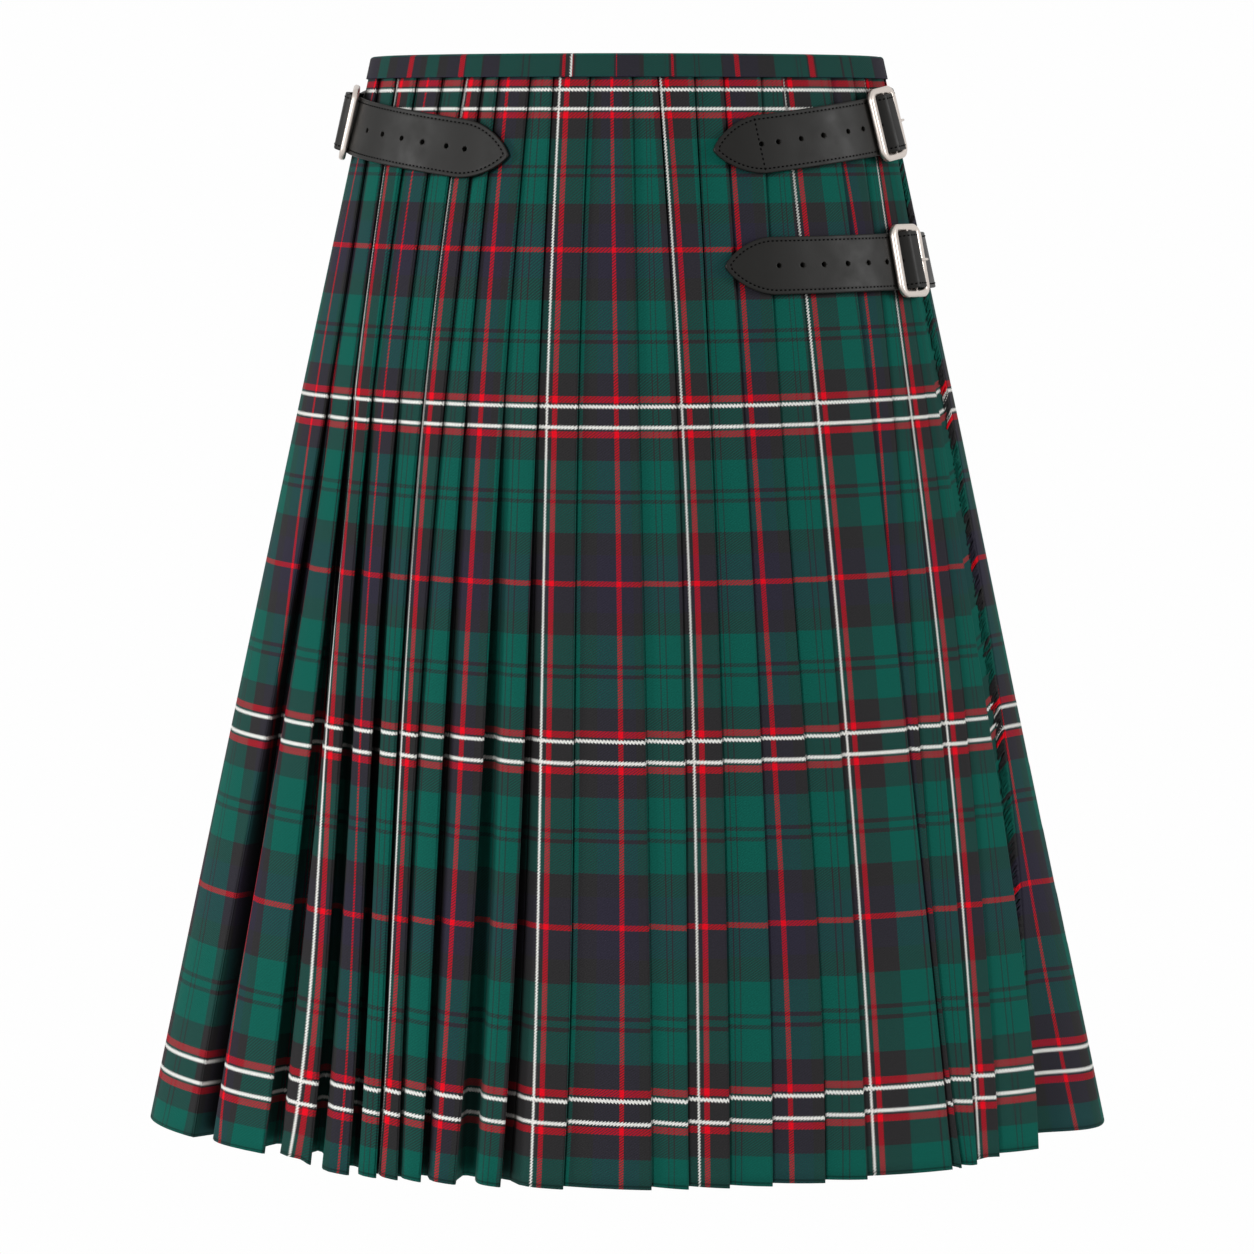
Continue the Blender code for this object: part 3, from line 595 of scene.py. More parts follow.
def sett_across(pleat, drop, share):
    """Place in the sett (mm) at a share across a pleat's face: between the charted
    stripes, and beyond them at the cloth's own scale."""
    places = stripe_places(pleat, drop)
    setts = [stripe.sett for stripe in CHARTS[pleat - 1]]
    found = [np.interp(at, column, setts) for at, column in zip(share, places.T)]
    before = np.minimum(share - places[0], 0.0) + np.maximum(share - places[-1], 0.0)
    return np.array(found) + before * panel_width(pleat, drop) / MM


def panel_columns(pleat, drop, start_angle, start_depth):
    """Columns over the face of a pleat, one on each stripe and one between."""
    width = panel_width(pleat, drop)
    last = 1.0 - FOLD_RADIUS / width
    stripes = stripe_places(pleat, drop)
    count = len(stripes)
    inner = []
    for index, stripe in enumerate(stripes):
        low = STRIPE_GAP * (index + 1) if not inner else inner[-1] + STRIPE_GAP
        inner.append(np.clip(stripe, low, last - STRIPE_GAP * (count - index)))
    marks = [0.0 * drop] + inner + [last]
    shares = []
    for index, (first, second) in enumerate(zip(marks, marks[1:])):
        parts = 2 if index else DIP_COLUMNS
        steps = [part / parts for part in range(parts)]
        if index == 0:
            steps = [step ** DIP_CROWDING for step in steps]
        shares += [first + (second - first) * step for step in steps]
    shares.append(last)
    return [face_spot(pleat, drop, share, start_angle, start_depth) for share in shares]


def face_spot(pleat, drop, share, start_angle, start_depth):
    """One column of a pleat's face, with its place in the sett."""
    width = panel_width(pleat, drop)
    angle = start_angle + (fold_angle(pleat, drop) - start_angle) * share
    crown = CROWN * width * (CROWN_SHUT + openness(drop)) * 4 * share * (1 - share)
    sprung = openness(drop) if PLEATS[pleat - 1].open_in else 0.0
    dip = start_depth * (1.0 - share) ** (DIP_POWER + SPRUNG_POWER * sprung)
    depth = dip - np.maximum(crown, 0.0)
    return (angle, depth, 0.0 * drop, share - 0.5, sett_across(pleat, drop, share))


def emerging(pleat, drop, corner, out):
    """Columns from a fold's inner turn to where the next face comes out."""
    angle = fold_angle(pleat, drop)
    columns = []
    for share in EMERGE:
        depth, along = (a + (b - a) * share for a, b in zip(corner, out))
        gone = (along - out[1]) / panel_width(pleat + 1, drop)
        columns.append((angle, depth, along, -0.5, sett_across(pleat + 1, drop, gone)))
    return columns


def pleated_columns(drop):
    """The pleated back's columns: angle, depth, distance along, share of the pleat's lean
    and, where it is charted, the place in the sett."""
    corners = fold_corners(0, drop, 0.0 * drop)
    start = (corners[2][0] + CLOTH + SEAM, corners[2][1] - START_UNDER)
    columns = [(fold_angle(0, drop), *start, -0.5, 0.0 * drop + START_SETT)]
    columns += emerging(0, drop, start, corners[4])
    out = corners[4]
    for pleat in range(1, len(PLEATS)):
        start_angle = walk(fold_angle(pleat - 1, drop), drop, out[1])
        columns += panel_columns(pleat, drop, start_angle, out[0])
        turned, after = fold_columns(pleat, drop, out[0])
        columns += [(*spot, None) for spot in turned]
        if pleat < len(PLEATS) - 1:
            far = fold_corners(pleat, drop, out[0])[3]
            columns += emerging(pleat, drop, toward(far, after, FOLD_RADIUS * 1.5), after)
        else:
            columns.append((fold_angle(pleat, drop), *after, 0.0, TAIL_SETT + 0.0 * drop))
        out = after
    return columns


def edge_angle(drop):
    """Angle of the over apron's free edge."""
    return through(EDGE, FOLD_DROPS, drop)


def edge_share(angle, drop):
    """1 at the over apron's free edge, falling to 0 a hand's width into the apron."""
    away = (angle - edge_angle(drop)) * ring_speed(angle, drop)
    return 1.0 - ease(away / EDGE_REACH)


def over_depth(angle, drop):
    """Depth of the over apron, which tucks in under the last pleat toward the hem."""
    return EDGE_DIP * below_fell(drop) ** DIP_LATE * edge_share(angle, drop)


def under_depth(angle, drop):
    """Depth of the under apron, further in at the top where the bindings are."""
    start, end = UNDER_BLEND
    gap = UNDER_TOP + (UNDER_LOW - UNDER_TOP) * ease((drop - start) / (end - start))
    return over_depth(angle, drop) + gap


def apron_drop(angle, drop):
    """Drop of the over apron, whose corner is a little shorter."""
    return drop * (1.0 - EDGE_LIFT / KILT_DROP * edge_share(angle, drop))


def under_drop(angle, drop):
    """Drop of the layer inside the over apron, which hides its hem."""
    return apron_drop(angle, drop * (1.0 - UNDER_LIFT / KILT_DROP))


def under_layer(angle):
    """Points of the layer inside the over apron, at every level."""
    return place(angle, under_drop(angle, LEVELS), under_depth(angle, LEVELS))


def lengths_along(points):
    """Distance along each level of a grid of points."""
    steps = np.linalg.norm(np.diff(points, axis=1), axis=2)
    return np.concatenate((np.zeros((len(points), 1)), np.cumsum(steps, axis=1)), axis=1)


# ------------------------------------------------------------------ cloth pieces

def pleated_grid():
    """Points of the pleated back, its places in the sett and its drops."""
    points, setts = [], []
    lean = PLEAT_LEAN * below_fell(LEVELS)
    for angle, depth, along, share, sett in pleated_columns(LEVELS):
        points.append(place(angle, LEVELS + lean * share, depth, along))
        setts.append(sett)
    last = fold_angle(len(PLEATS) - 1, LEVELS)
    for along in (BACK_TAIL / 2, BACK_TAIL):
        angle = walk(last, LEVELS, along)
        points.append(under_layer(angle))
        setts.append(None)
    grid = np.stack(points, axis=1)
    lengths = lengths_along(grid) / MM
    across = np.zeros(lengths.shape)
    for column, sett in enumerate(setts):
        if sett is None:
            step = lengths[:, column] - lengths[:, column - 1]
            across[:, column] = across[:, column - 1] + step
        else:
            across[:, column] = sett
    return grid, across


def over_apron_grid():
    """Points of the over apron, from its free edge to the first fold's return."""
    start, end = edge_angle(LEVELS), 360.0 + fold_angle(0, LEVELS)
    points = []
    for share in apron_shares(OVER_COLUMNS):
        angle = start + (end - start) * share
        points.append(place(angle, apron_drop(angle, LEVELS), over_depth(angle, LEVELS)))
    face = len(points)
    turned, _ = fold_columns(0, LEVELS, 0.0 * LEVELS)
    inside = fold_corners(0, LEVELS, 0.0 * LEVELS)[2]
    for depth, along in [spot[1:3] for spot in turned[:len(FOLD_ARC) + 1]] + [inside]:
        points.append(place(end, LEVELS, depth, along))
    grid = np.stack(points, axis=1)
    lengths = lengths_along(grid) / MM
    first = through(RED_FROM_EDGE, FOLD_DROPS, LEVELS)[:, None]
    last = lengths[:, face - 1:face] - through(RED_FROM_FOLD, FOLD_DROPS, LEVELS)[:, None]
    scale = 2 * HALF_SETT * APRON_SETTS / (last - first)
    return grid, HALF_SETT + (lengths - first) * scale


def under_apron_grid():
    """Points of the under apron, inside the over apron."""
    last = fold_angle(len(PLEATS) - 1, LEVELS)
    start = walk(last, LEVELS, BACK_TAIL + SEAM)
    end = UNDER_EDGE - 360.0
    points = []
    for share in apron_shares(UNDER_COLUMNS):
        angle = start + (end - start) * share
        points.append(under_layer(angle))
    grid = np.stack(points, axis=1)
    return grid, lengths_along(grid) / MM


def apron_shares(count):
    """Shares round an apron at which it has a column, closer at its two ends."""
    even = np.linspace(0.0, 1.0, count)
    return even - COLUMN_CROWDING * np.sin(2 * math.pi * even)


def mesh_from(name, points, edges=(), faces=()):
    """Mesh of points with edges or faces."""
    mesh = bpy.data.meshes.new(name)
    mesh.from_pydata(np.asarray(points).reshape(-1, 3).tolist(), edges, faces)
    return mesh


def add_maps(mesh, cloth, weave):
    """Give a mesh its map of the sett and its map of the threads, a row for each vertex."""
    corners = np.empty(len(mesh.loops), dtype=np.int32)
    mesh.loops.foreach_get("vertex_index", corners)
    for label, found in (("cloth", cloth), ("weave", weave)):
        mesh.uv_layers.new(name=label).data.foreach_set("uv", found[corners].ravel())
    mesh.shade_smooth()
    return mesh


def grid_mesh(name, grid, across, drops):
    """Sheet over a grid of points, with a map of its sett and one of its threads."""
    levels, columns = grid.shape[:2]
    number = np.arange(levels * columns).reshape(levels, columns)
    faces = np.stack((number[1:, :-1], number[1:, 1:], number[:-1, 1:], number[:-1, :-1]), -1)
    mesh = mesh_from(name, grid, faces=faces.reshape(-1, 4).tolist())
    down = np.broadcast_to(drops, across.shape)
    spots = np.stack((across * MM, sett_down(down)), -1).reshape(-1, 2)
    threads = np.stack((lengths_along(grid), down), -1).reshape(-1, 2)
    return add_maps(mesh, spots, threads)


def thicken(made, thickness):
    """Give a sheet its thickness, half to each side, with a Solidify modifier, applied."""
    change = made.modifiers.new("thickness", "SOLIDIFY")
    change.thickness = thickness
    change.offset = 0.0
    apply_modifiers(made)


def evaluated_mesh(made):
    """New mesh of what an object's modifiers, or its curve, make of it."""
    bpy.context.view_layer.update()
    found = bpy.context.evaluated_depsgraph_get()
    return bpy.data.meshes.new_from_object(made.evaluated_get(found))


def apply_modifiers(made):
    """Replace an object's mesh with what its modifiers make of it."""
    solid = evaluated_mesh(made)
    made.modifiers.clear()
    old = made.data
    made.data = solid
    bpy.data.meshes.remove(old)
    solid.name = made.name


def add_object(name, data, *surfaces):
    """Link a mesh or curve as a named object with its materials."""
    made = bpy.data.objects.new(name, data)
    for surface in surfaces:
        data.materials.append(surface)
    bpy.context.scene.collection.objects.link(made)
    return made


def face_outward(mesh, weld=0.0):
    """Turn a mesh's faces outward and shade it smooth, after welding its double points."""
    shape = bmesh.new()
    shape.from_mesh(mesh)
    if weld:
        bmesh.ops.remove_doubles(shape, verts=shape.verts, dist=weld)
    bmesh.ops.recalc_face_normals(shape, faces=shape.faces)
    shape.to_mesh(mesh)
    shape.free()
    mesh.shade_smooth()
    return mesh


def bmesh_mesh(name, shape):
    """Mesh of a finished bmesh, which is freed."""
    mesh = bpy.data.meshes.new(name)
    shape.to_mesh(mesh)
    shape.free()
    return mesh


def loft_mesh(name, sections):
    """Skin over closed sections of points, with end caps."""
    sections = np.asarray(sections)
    count, size = sections.shape[:2]
    faces = []
    for index in range(count - 1):
        for corner in range(size):
            a = index * size + corner
            b = index * size + (corner + 1) % size
            faces.append((a, b, b + size, a + size))
    faces.append(tuple(range(size))[::-1])
    faces.append(tuple(range(size * (count - 1), size * count)))
    return face_outward(mesh_from(name, sections, faces=faces))


# ------------------------------------------------------------------ waistband

def band_depths(angle):
    """Depths of the waistband's outer and inner wall round the wrap."""
    left_ramp = ease((angle - BAND_WIDEN[0]) / (BAND_WIDEN[1] - BAND_WIDEN[0]))
    inner = BAND_IN_APRON + (BAND_IN_BACK - BAND_IN_APRON) * left_ramp
    outer = BAND_OUT + 0.0 * angle
    under = ease((angle - BAND_DIVE[0]) / (BAND_DIVE[1] - BAND_DIVE[0]))
    outer = outer + (UNDER_TOP + BAND_OUT - outer) * under
    inner = inner + (UNDER_TOP - BAND_OUT - inner) * under
    return outer, inner


def band_grid(start, end):
    """Points of the binding's cloth from its outer lower edge over the top to its inner
    one, with its places in the sett across and its drops."""
    count = round((end - start) / BAND_STEP)
    angle = np.linspace(start, end, count + 1)
    outer, inner = band_depths(angle)
    outside = [BAND_HEIGHT, BAND_HEIGHT - BAND_LIP]
    outside += [BAND_HEIGHT * share for share in BAND_OUTSIDE]
    rows = [place(angle, drop, outer) for drop in outside]
    for turn in np.linspace(0.0, math.pi, BAND_TURNS):
        share = (1 - math.cos(turn)) / 2
        drop = BAND_TURN * (1 - math.sin(turn))
        rows.append(place(angle, drop, outer + (inner - outer) * share))
    rows += [place(angle, BAND_HEIGHT * share, inner) for share in BAND_INSIDE]
    grid = np.stack(rows, axis=0)
    # Lengths are measured along a row partway up the outside
    along = lengths_along(grid[4:5])[0] / MM
    turns, setts = np.array(BAND_CHART).T
    turns = turns + 360.0
    from_first = along - np.interp(turns[0], angle, along)
    sett = np.where(angle < turns[0], setts[0] + from_first, np.interp(angle, turns, setts))
    sett = np.where(angle > turns[-1], along, sett)
    across = np.broadcast_to(sett, grid.shape[:2])
    steps = np.linalg.norm(np.diff(grid[:, 0], axis=0), axis=1)
    down = np.cumsum(np.concatenate(([0.0], steps)))
    return grid, across, BAND_WEFT + (BAND_HEIGHT - down)[:, None]


# ------------------------------------------------------------------ fringe

def beside_edge(drop, along, inward):
    """Points beside the over apron's free edge."""
    angle = edge_angle(drop)
    return place(angle, apron_drop(angle, drop), over_depth(angle, drop) + inward, along)


def fringe_mesh():
    """Loose weft ends: locks of a few strands whose tips droop."""
    draw = np.random.default_rng(FRINGE_SEED)
    points, faces, spots = [], [], []
    for drop in np.linspace(FRINGE_FIRST, FRINGE_LAST, FRINGE_LOCKS):
        fall = FRINGE_FALL * (1.0 + FALL_SPREAD * draw.standard_normal())
        length = FRINGE_LENGTH * (1.0 + LENGTH_SPREAD * draw.standard_normal())
        for strand in range(FRINGE_STRANDS):
            off_lock = strand / FRINGE_STRANDS - 0.5
            root = drop + off_lock * (FRINGE_LAST - FRINGE_FIRST) / FRINGE_LOCKS
            tip = drop + TIP_SPREAD * draw.standard_normal()
            bow = BOW_SPREAD * draw.standard_normal()
            base = len(points)
            for share in FRINGE_SHARES:
                own = root + (tip - root) * share + fall * share ** FRINGE_DROOP
                along = -(FRINGE_BAND + length) * share
                lift = bow * math.sin(math.pi * share) + FRINGE_SINK * share
                size = FRINGE_YARN * (1.0 - FRINGE_THINS * share)
                for side in range(FRINGE_SIDES):
                    swing = math.pi / 2 * side
                    points.append((max(own + size * math.cos(swing), FRINGE_HIGHEST), along,
                                   lift + size * math.sin(swing)))
                    spots.append((along, sett_down(drop)))
            for ring in range(base, len(points) - FRINGE_SIDES, FRINGE_SIDES):
                for side in range(FRINGE_SIDES):
                    a, b = ring + side, ring + (side + 1) % FRINGE_SIDES
                    faces.append((a, b, b + FRINGE_SIDES, a + FRINGE_SIDES))
            faces.append(tuple(range(base, base + FRINGE_SIDES))[::-1])
            faces.append(tuple(range(len(points) - FRINGE_SIDES, len(points))))
    found = np.array(points)
    placed = beside_edge(found[:, 0], found[:, 1], found[:, 2])
    return add_maps(mesh_from("fringe", placed, faces=faces), np.array(spots), np.array(spots))


# ------------------------------------------------------------------ straps

class StrapLine:
    """Where a strap runs on the kilt, and the level frame of its buckle.

    A run is the distance from the buckle's centre bar, positive toward the tip.
    """

    def __init__(self, row):
        self.row = row
        normal = Vector(cloth_normal(np.array(row.angle), row.drop))
        ahead = Vector(self.on_cloth(MM, 0.0) - self.on_cloth(-MM, 0.0))
        ahead = (ahead - normal * ahead.dot(normal)).normalized()
        self.frame = Matrix((ahead, normal.cross(ahead), normal)).transposed().to_4x4()
        self.frame.translation = Vector(self.on_cloth(0.0, 0.0))
        seat = Matrix.Translation((0.0, 0.0, BUCKLE_RISE))
        lean = Matrix.Rotation(math.radians(-BUCKLE_LEAN), 4, "Y")
        self.buckle = self.frame @ seat @ lean

    def on_cloth(self, run, lift, across=0.0):
        """Points a lift above the cloth; across is measured down the cloth."""
        row = self.row
        drop = row.drop + row.slope * run + across
        angle = walk(row.angle, row.drop, (run - row.slope * across) * row.tip_side)
        return place(angle, drop, SURFACE) + cloth_normal(angle, drop) * np.asarray(lift)[..., None]


def strap_lift(run):
    """Lift of the strap's underside: over the chape, and over the buckle's centre bar."""
    on_chape = np.where(run > 0, ease((CHAPE_LENGTH + CHAPE_SLOPE - run) / CHAPE_SLOPE),
                        ease(1.0 + run / HUMP_REACH))
    rest = STRAP_REST + (CHAPE + CHAPE_GAP) * on_chape
    stretch = np.where(run > 0, 1.0, TAIL_STRETCH)
    hump = ease((HUMP_REACH * stretch - np.abs(run)) / (HUMP_RISE * stretch))
    return rest + (BULGE - rest) * hump


def strap_half_width(from_tip):
    """Half width of the strap, whose end is a pointed oval."""
    share = np.minimum(from_tip / STRAP_TAPER, 1.0)
    full = (1.0 - (1.0 - share) ** TIP_SIDES) ** TIP_POINT
    return np.maximum(STRAP_WIDTH / 2 * full, STRAP_BLUNT)


def strap_top(edge):
    """Height of the leather's face over its underside, by distance in from the edge: a
    rounded bead, then the pressed groove that the stitches lie in."""
    round_edge = np.sqrt(np.clip(1.0 - (1.0 - edge / BEAD_ROUND) ** 2, 0.0, 1.0))
    bead = LEATHER - BEAD_ROUND * BEAD_RISE * (1.0 - np.where(edge < BEAD_ROUND, round_edge, 1.0))
    groove = GROOVE_DEEP * np.exp(-((edge - GROOVE_IN) / GROOVE_HALF) ** 2)
    return bead - groove


def strap_mesh(line):
    """Leather strap: its face follows the bead and groove round the outline."""
    row = line.row
    back = np.concatenate((np.linspace(*TIP_SECTIONS), np.linspace(*SHOULDER_SECTIONS),
                           np.arange(BODY_FROM, row.free + row.tail, BODY_STEP)))
    runs = row.free - back
    half = strap_half_width(back)
    across = np.sin(np.linspace(-math.pi / 2, math.pi / 2, STRAP_COLUMNS))
    across = 0.5 * across + 0.5 * np.linspace(-1.0, 1.0, STRAP_COLUMNS)
    run = np.repeat(runs[:, None], STRAP_COLUMNS, axis=1)
    side = half[:, None] * across[None, :]
    gap = [np.min(np.hypot(back[:, None] - b, half[:, None] - np.abs(s)[None, :]), axis=0)
           for b, s in zip(back, side)]
    edge = np.minimum(np.array(gap), back[:, None])
    low = strap_lift(run)
    top = line.on_cloth(run, low + strap_top(edge), side)
    under = line.on_cloth(run, low, side)
    sections = np.concatenate((top, under[:, ::-1][:, 1:-1]), axis=1)
    return loft_mesh("strap", sections)


def punch(strap, line):
    """Punch the strap's holes, a little wider at the face."""
    shape = bmesh.new()
    for run in line.row.holes:
        middle = strap_lift(np.array(run)) + LEATHER / 2
        low, high = (Vector(line.on_cloth(run, middle + up)) for up in (-LEATHER, LEATHER))
        turn = (high - low).to_track_quat("Z", "Y").to_matrix().to_4x4()
        turn.translation = (low + high) / 2
        bmesh.ops.create_cone(shape, cap_ends=True, segments=20, radius1=HOLE * HOLE_BACK,
                              radius2=HOLE * HOLE_FACE, depth=2 * LEATHER, matrix=turn)
    cutter = add_object("punches", bmesh_mesh("punches", shape))
    change = strap.modifiers.new("holes", "BOOLEAN")
    change.operation = "DIFFERENCE"
    change.object = cutter
    apply_modifiers(strap)
    bpy.data.objects.remove(cutter)


def stitch_line(line):
    """Points of the strap's stitched line, up one side, round the tip and back."""
    row = line.row
    end = row.free + row.tail - STITCH_END
    back = np.concatenate((np.linspace(*STITCH_TIP), np.arange(BODY_FROM, end, STITCH_STEP)))
    half = strap_half_width(back)
    slope = np.gradient(half, back)
    size = np.hypot(1.0, slope)
    inside_back, inside_half = back + GROOVE_IN * slope / size, half - GROOVE_IN / size
    kept = inside_half > 0.0
    inside_back, inside_half = inside_back[kept], inside_half[kept]
    run = row.free - np.concatenate((inside_back[::-1], inside_back))
    side = np.concatenate((-inside_half[::-1], inside_half))
    return line.on_cloth(run, strap_lift(run) + LEATHER - GROOVE_DEEP, side)


def stitch_tree(look):
    """Geometry Nodes group that sews a line: a rounded stitch at every step along it."""
    tree = bpy.data.node_groups.new("stitches", "GeometryNodeTree")
    tree.interface.new_socket("Line", in_out="INPUT", socket_type="NodeSocketGeometry")
    for name in ("Pitch", "Length", "Thread"):
        tree.interface.new_socket(name, in_out="INPUT", socket_type="NodeSocketFloat")
    tree.interface.new_socket("Stitches", in_out="OUTPUT", socket_type="NodeSocketGeometry")
    given = add(tree, "NodeGroupInput").outputs
    curve = first_out(tree, "GeometryNodeMeshToCurve", {0: given["Line"]})
    steps = first_out(tree, "GeometryNodeResampleCurve",
                      {"Curve": curve, "Length": given["Pitch"]}, mode="LENGTH")
    ahead = first_out(tree, "GeometryNodeInputTangent")
    turn = first_out(tree, "FunctionNodeAlignRotationToVector", {"Vector": ahead}, axis="X")
    ball = first_out(tree, "GeometryNodeMeshUVSphere", {"Segments": 8, "Rings": 6, "Radius": 0.5})
    size = first_out(tree, "ShaderNodeCombineXYZ",
                     {0: given["Length"], 1: given["Thread"], 2: given["Thread"]})
    sewn = first_out(tree, "GeometryNodeInstanceOnPoints",
                     {"Points": steps, "Instance": ball, "Rotation": turn, "Scale": size})
    real = first_out(tree, "GeometryNodeRealizeInstances", {0: sewn})
    dressed = first_out(tree, "GeometryNodeSetMaterial", {0: real, "Material": look})
    add(tree, "NodeGroupOutput", {0: dressed})
    return tree


def sew(name, points, tree, look):
    """Stitches along a line of points, as a mesh."""
    mesh = mesh_from(name, points, edges=[(i, i + 1) for i in range(len(points) - 1)])
    made = add_object(name, mesh, look)
    change = made.modifiers.new("stitches", "NODES")
    change.node_group = tree
    sizes = {"Pitch": STITCH_PITCH, "Length": STITCH_LENGTH, "Thread": STITCH_THREAD}
    for item in tree.interface.items_tree:
        if item.name in sizes:
            change[item.identifier] = sizes[item.name]
    apply_modifiers(made)
    made.data.shade_smooth()
    return made


# ------------------------------------------------------------------ buckles

def rounded_outline(width, tall, radius, centre, arc):
    """Corners of a rounded rectangle."""
    outline = []
    for turn, (sx, sy) in enumerate(((1, 1), (-1, 1), (-1, -1), (1, -1))):
        for step in range(arc + 1):
            angle = math.radians(90.0 * (turn + step / arc))
            x = centre + sx * (width / 2 - radius) + radius * math.cos(angle)
            y = sy * (tall / 2 - radius) + radius * math.sin(angle)
            outline.append((x, y))
    return outline


def add_spline(curve, points, closed):
    """Add a straight-sided spline through points to a curve."""
    spline = curve.splines.new("POLY")
    spline.points.add(len(points) - 1)
    for point, spot in zip(spline.points, points):
        point.co = (*spot, 1.0)
    spline.use_cyclic_u = closed
    return spline


def curve_mesh(curve):
    """Mesh of a curve, with its caps welded on."""
    guide = add_object("guide", curve)
    mesh = face_outward(evaluated_mesh(guide), weld=0.00001)
    bpy.data.objects.remove(guide)
    bpy.data.curves.remove(curve)
    return mesh


def buckle_mesh():
    """Full frame with two windows, which leave a bar between them."""
    bevel = BUCKLE_BEVEL
    curve = bpy.data.curves.new("frame", "CURVE")
    curve.dimensions = "2D"
    curve.fill_mode = "BOTH"
    curve.extrude = BUCKLE_THICKNESS / 2 - bevel
    curve.bevel_depth = bevel
    curve.bevel_resolution = 6
    window_wide = (BUCKLE_WIDTH - 2 * BUCKLE_BAR - CENTRE_BAR) / 2
    window_tall = BUCKLE_HEIGHT - 2 * BUCKLE_RAIL
    window_at = (CENTRE_BAR + window_wide) / 2
    outlines = [rounded_outline(BUCKLE_WIDTH - 2 * bevel, BUCKLE_HEIGHT - 2 * bevel,
                                BUCKLE_CORNER, 0.0, FRAME_ARC)]
    for centre in (-window_at, window_at):
        outlines.append(rounded_outline(window_wide + 2 * bevel, window_tall + 2 * bevel,
                                        WINDOW_CORNER, centre, WINDOW_ARC))
    for outline in outlines:
        add_spline(curve, [(x, y, 0.0) for x, y in outline], closed=True)
    return curve_mesh(curve)


def prong_mesh(radius):
    """Prong as a bent wire: a hook round the centre bar and a rod to the outer bar."""
    round_bar = CENTRE_BAR * 0.64 + PRONG / 2 + SEAM
    # Run from the centre bar, height, and share of the full radius
    path = [(-0.0158, BUCKLE_THICKNESS / 2 + PRONG / 2 + SEAM, 0.7),
            (-0.0120, BUCKLE_THICKNESS / 2 + PRONG / 2 + 0.0005, 1.0),
            (-0.0050, round_bar - 0.0001, 1.0)]
    for step in range(17):
        turn = math.radians(90.0 - 15.0 * step)
        path.append((round_bar * math.cos(turn), round_bar * math.sin(turn), 1.0))
    curve = bpy.data.curves.new("prong", "CURVE")
    curve.dimensions = "3D"
    curve.bevel_depth = radius
    curve.bevel_resolution = 5
    curve.use_fill_caps = True
    spline = add_spline(curve, [(run, 0.0, height) for run, height, _ in path], closed=False)
    for point, (_, _, share) in zip(spline.points, path):
        point.radius = share
    return curve_mesh(curve)


# ------------------------------------------------------------------ materials

def linear(code):
    """Linear colour of an sRGB hex code."""
    parts = [int(code[at:at + 2], 16) / 255 for at in (1, 3, 5)]
    return (*(p / 12.92 if p <= 0.04045 else ((p + 0.055) / 1.055) ** 2.4 for p in parts), 1.0)


def feed(tree, node, inputs):
    """Set a node's inputs, or link them where a socket is given."""
    for socket, source in inputs.items():
        if isinstance(source, bpy.types.NodeSocket):
            tree.links.new(source, node.inputs[socket])
        else:
            node.inputs[socket].default_value = source


def add(tree, kind, inputs=None, **settings):
    """Add a node with its settings and its inputs."""
    node = tree.nodes.new(kind)
    for name, value in settings.items():
        setattr(node, name, value)
    feed(tree, node, inputs or {})
    return node


def first_out(tree, kind, inputs=None, **settings):
    """First output of a new node."""
    return add(tree, kind, inputs, **settings).outputs[0]


def math_node(tree, operation, first, second=0.0, third=0.0):
    """Output of a Math node."""
    inputs = {0: first, 1: second, 2: third}
    return first_out(tree, "ShaderNodeMath", inputs, operation=operation)


def mixed(tree, share, first, second):
    """Colour between two colours."""
    inputs = {0: share, 6: first, 7: second}
    return add(tree, "ShaderNodeMix", inputs, data_type="RGBA").outputs[2]


def ranged(tree, value, ranges, **settings):
    """Value carried from the first of two ranges to the second."""
    (low, high), (start, end) = ranges
    inputs = {0: value, 1: low, 2: high, 3: start, 4: end}
    return first_out(tree, "ShaderNodeMapRange", inputs, **settings)


def noise(tree, spot, scale, **inputs):
    """Soft noise over a place."""
    inputs = {"Vector": spot, "Scale": scale, **inputs}
    return first_out(tree, "ShaderNodeTexNoise", inputs)


def bumped(tree, height, strength, depth):
    """Normal of a surface with fine relief, whose depth is in millimetres."""
    inputs = {"Height": height, "Strength": strength, "Distance": depth * MM}
    return first_out(tree, "ShaderNodeBump", inputs)


def new_material(name):
    """Material with a bare Principled shader; gives its tree and shader too."""
    made = bpy.data.materials.new(name)
    made.use_nodes = True
    tree = made.node_tree
    return made, tree, tree.nodes["Principled BSDF"]


def sett_stops(line):
    """The half sett's colours with its two black lines, as starts and thread names."""
    stops = list(SETT)
    for middle in LINES_AT:
        stops += [(middle - line / 2, "black"), (middle + line / 2, "green")]
    return sorted(stops)


def sett_colour(tree, place_in_sett, line):
    """Thread colour at a place in the sett, and the same place folded into half a sett."""
    half = HALF_SETT * MM
    folded = math_node(tree, "PINGPONG", place_in_sett, half)
    share = math_node(tree, "DIVIDE", folded, half)
    ramp = add(tree, "ShaderNodeValToRGB", {"Fac": share})
    ramp.color_ramp.interpolation = "CONSTANT"
    stops = ramp.color_ramp.elements
    while len(stops) > 1:
        stops.remove(stops[-1])
    for index, (start, name) in enumerate(sett_stops(line)):
        stop = stops[0] if index == 0 else stops.new(start / HALF_SETT)
        stop.position = start / HALF_SETT
        stop.color = linear(THREADS[name])
    return ramp.outputs["Color"], folded


def white_line(tree, folded, run, floats):
    """Mask of the white overcheck line: slanting floats on a narrow core of thread."""
    narrow, widening, pitch = floats
    off = math_node(tree, "SUBTRACT", folded, WHITE_AT * MM)
    step = math_node(tree, "PINGPONG", math_node(tree, "ADD", run, off), pitch / 2 * MM)
    width = math_node(tree, "MULTIPLY_ADD", step, widening, narrow / 2 * MM)
    away = math_node(tree, "ABSOLUTE", off)
    return math_node(tree, "LESS_THAN", away, width)


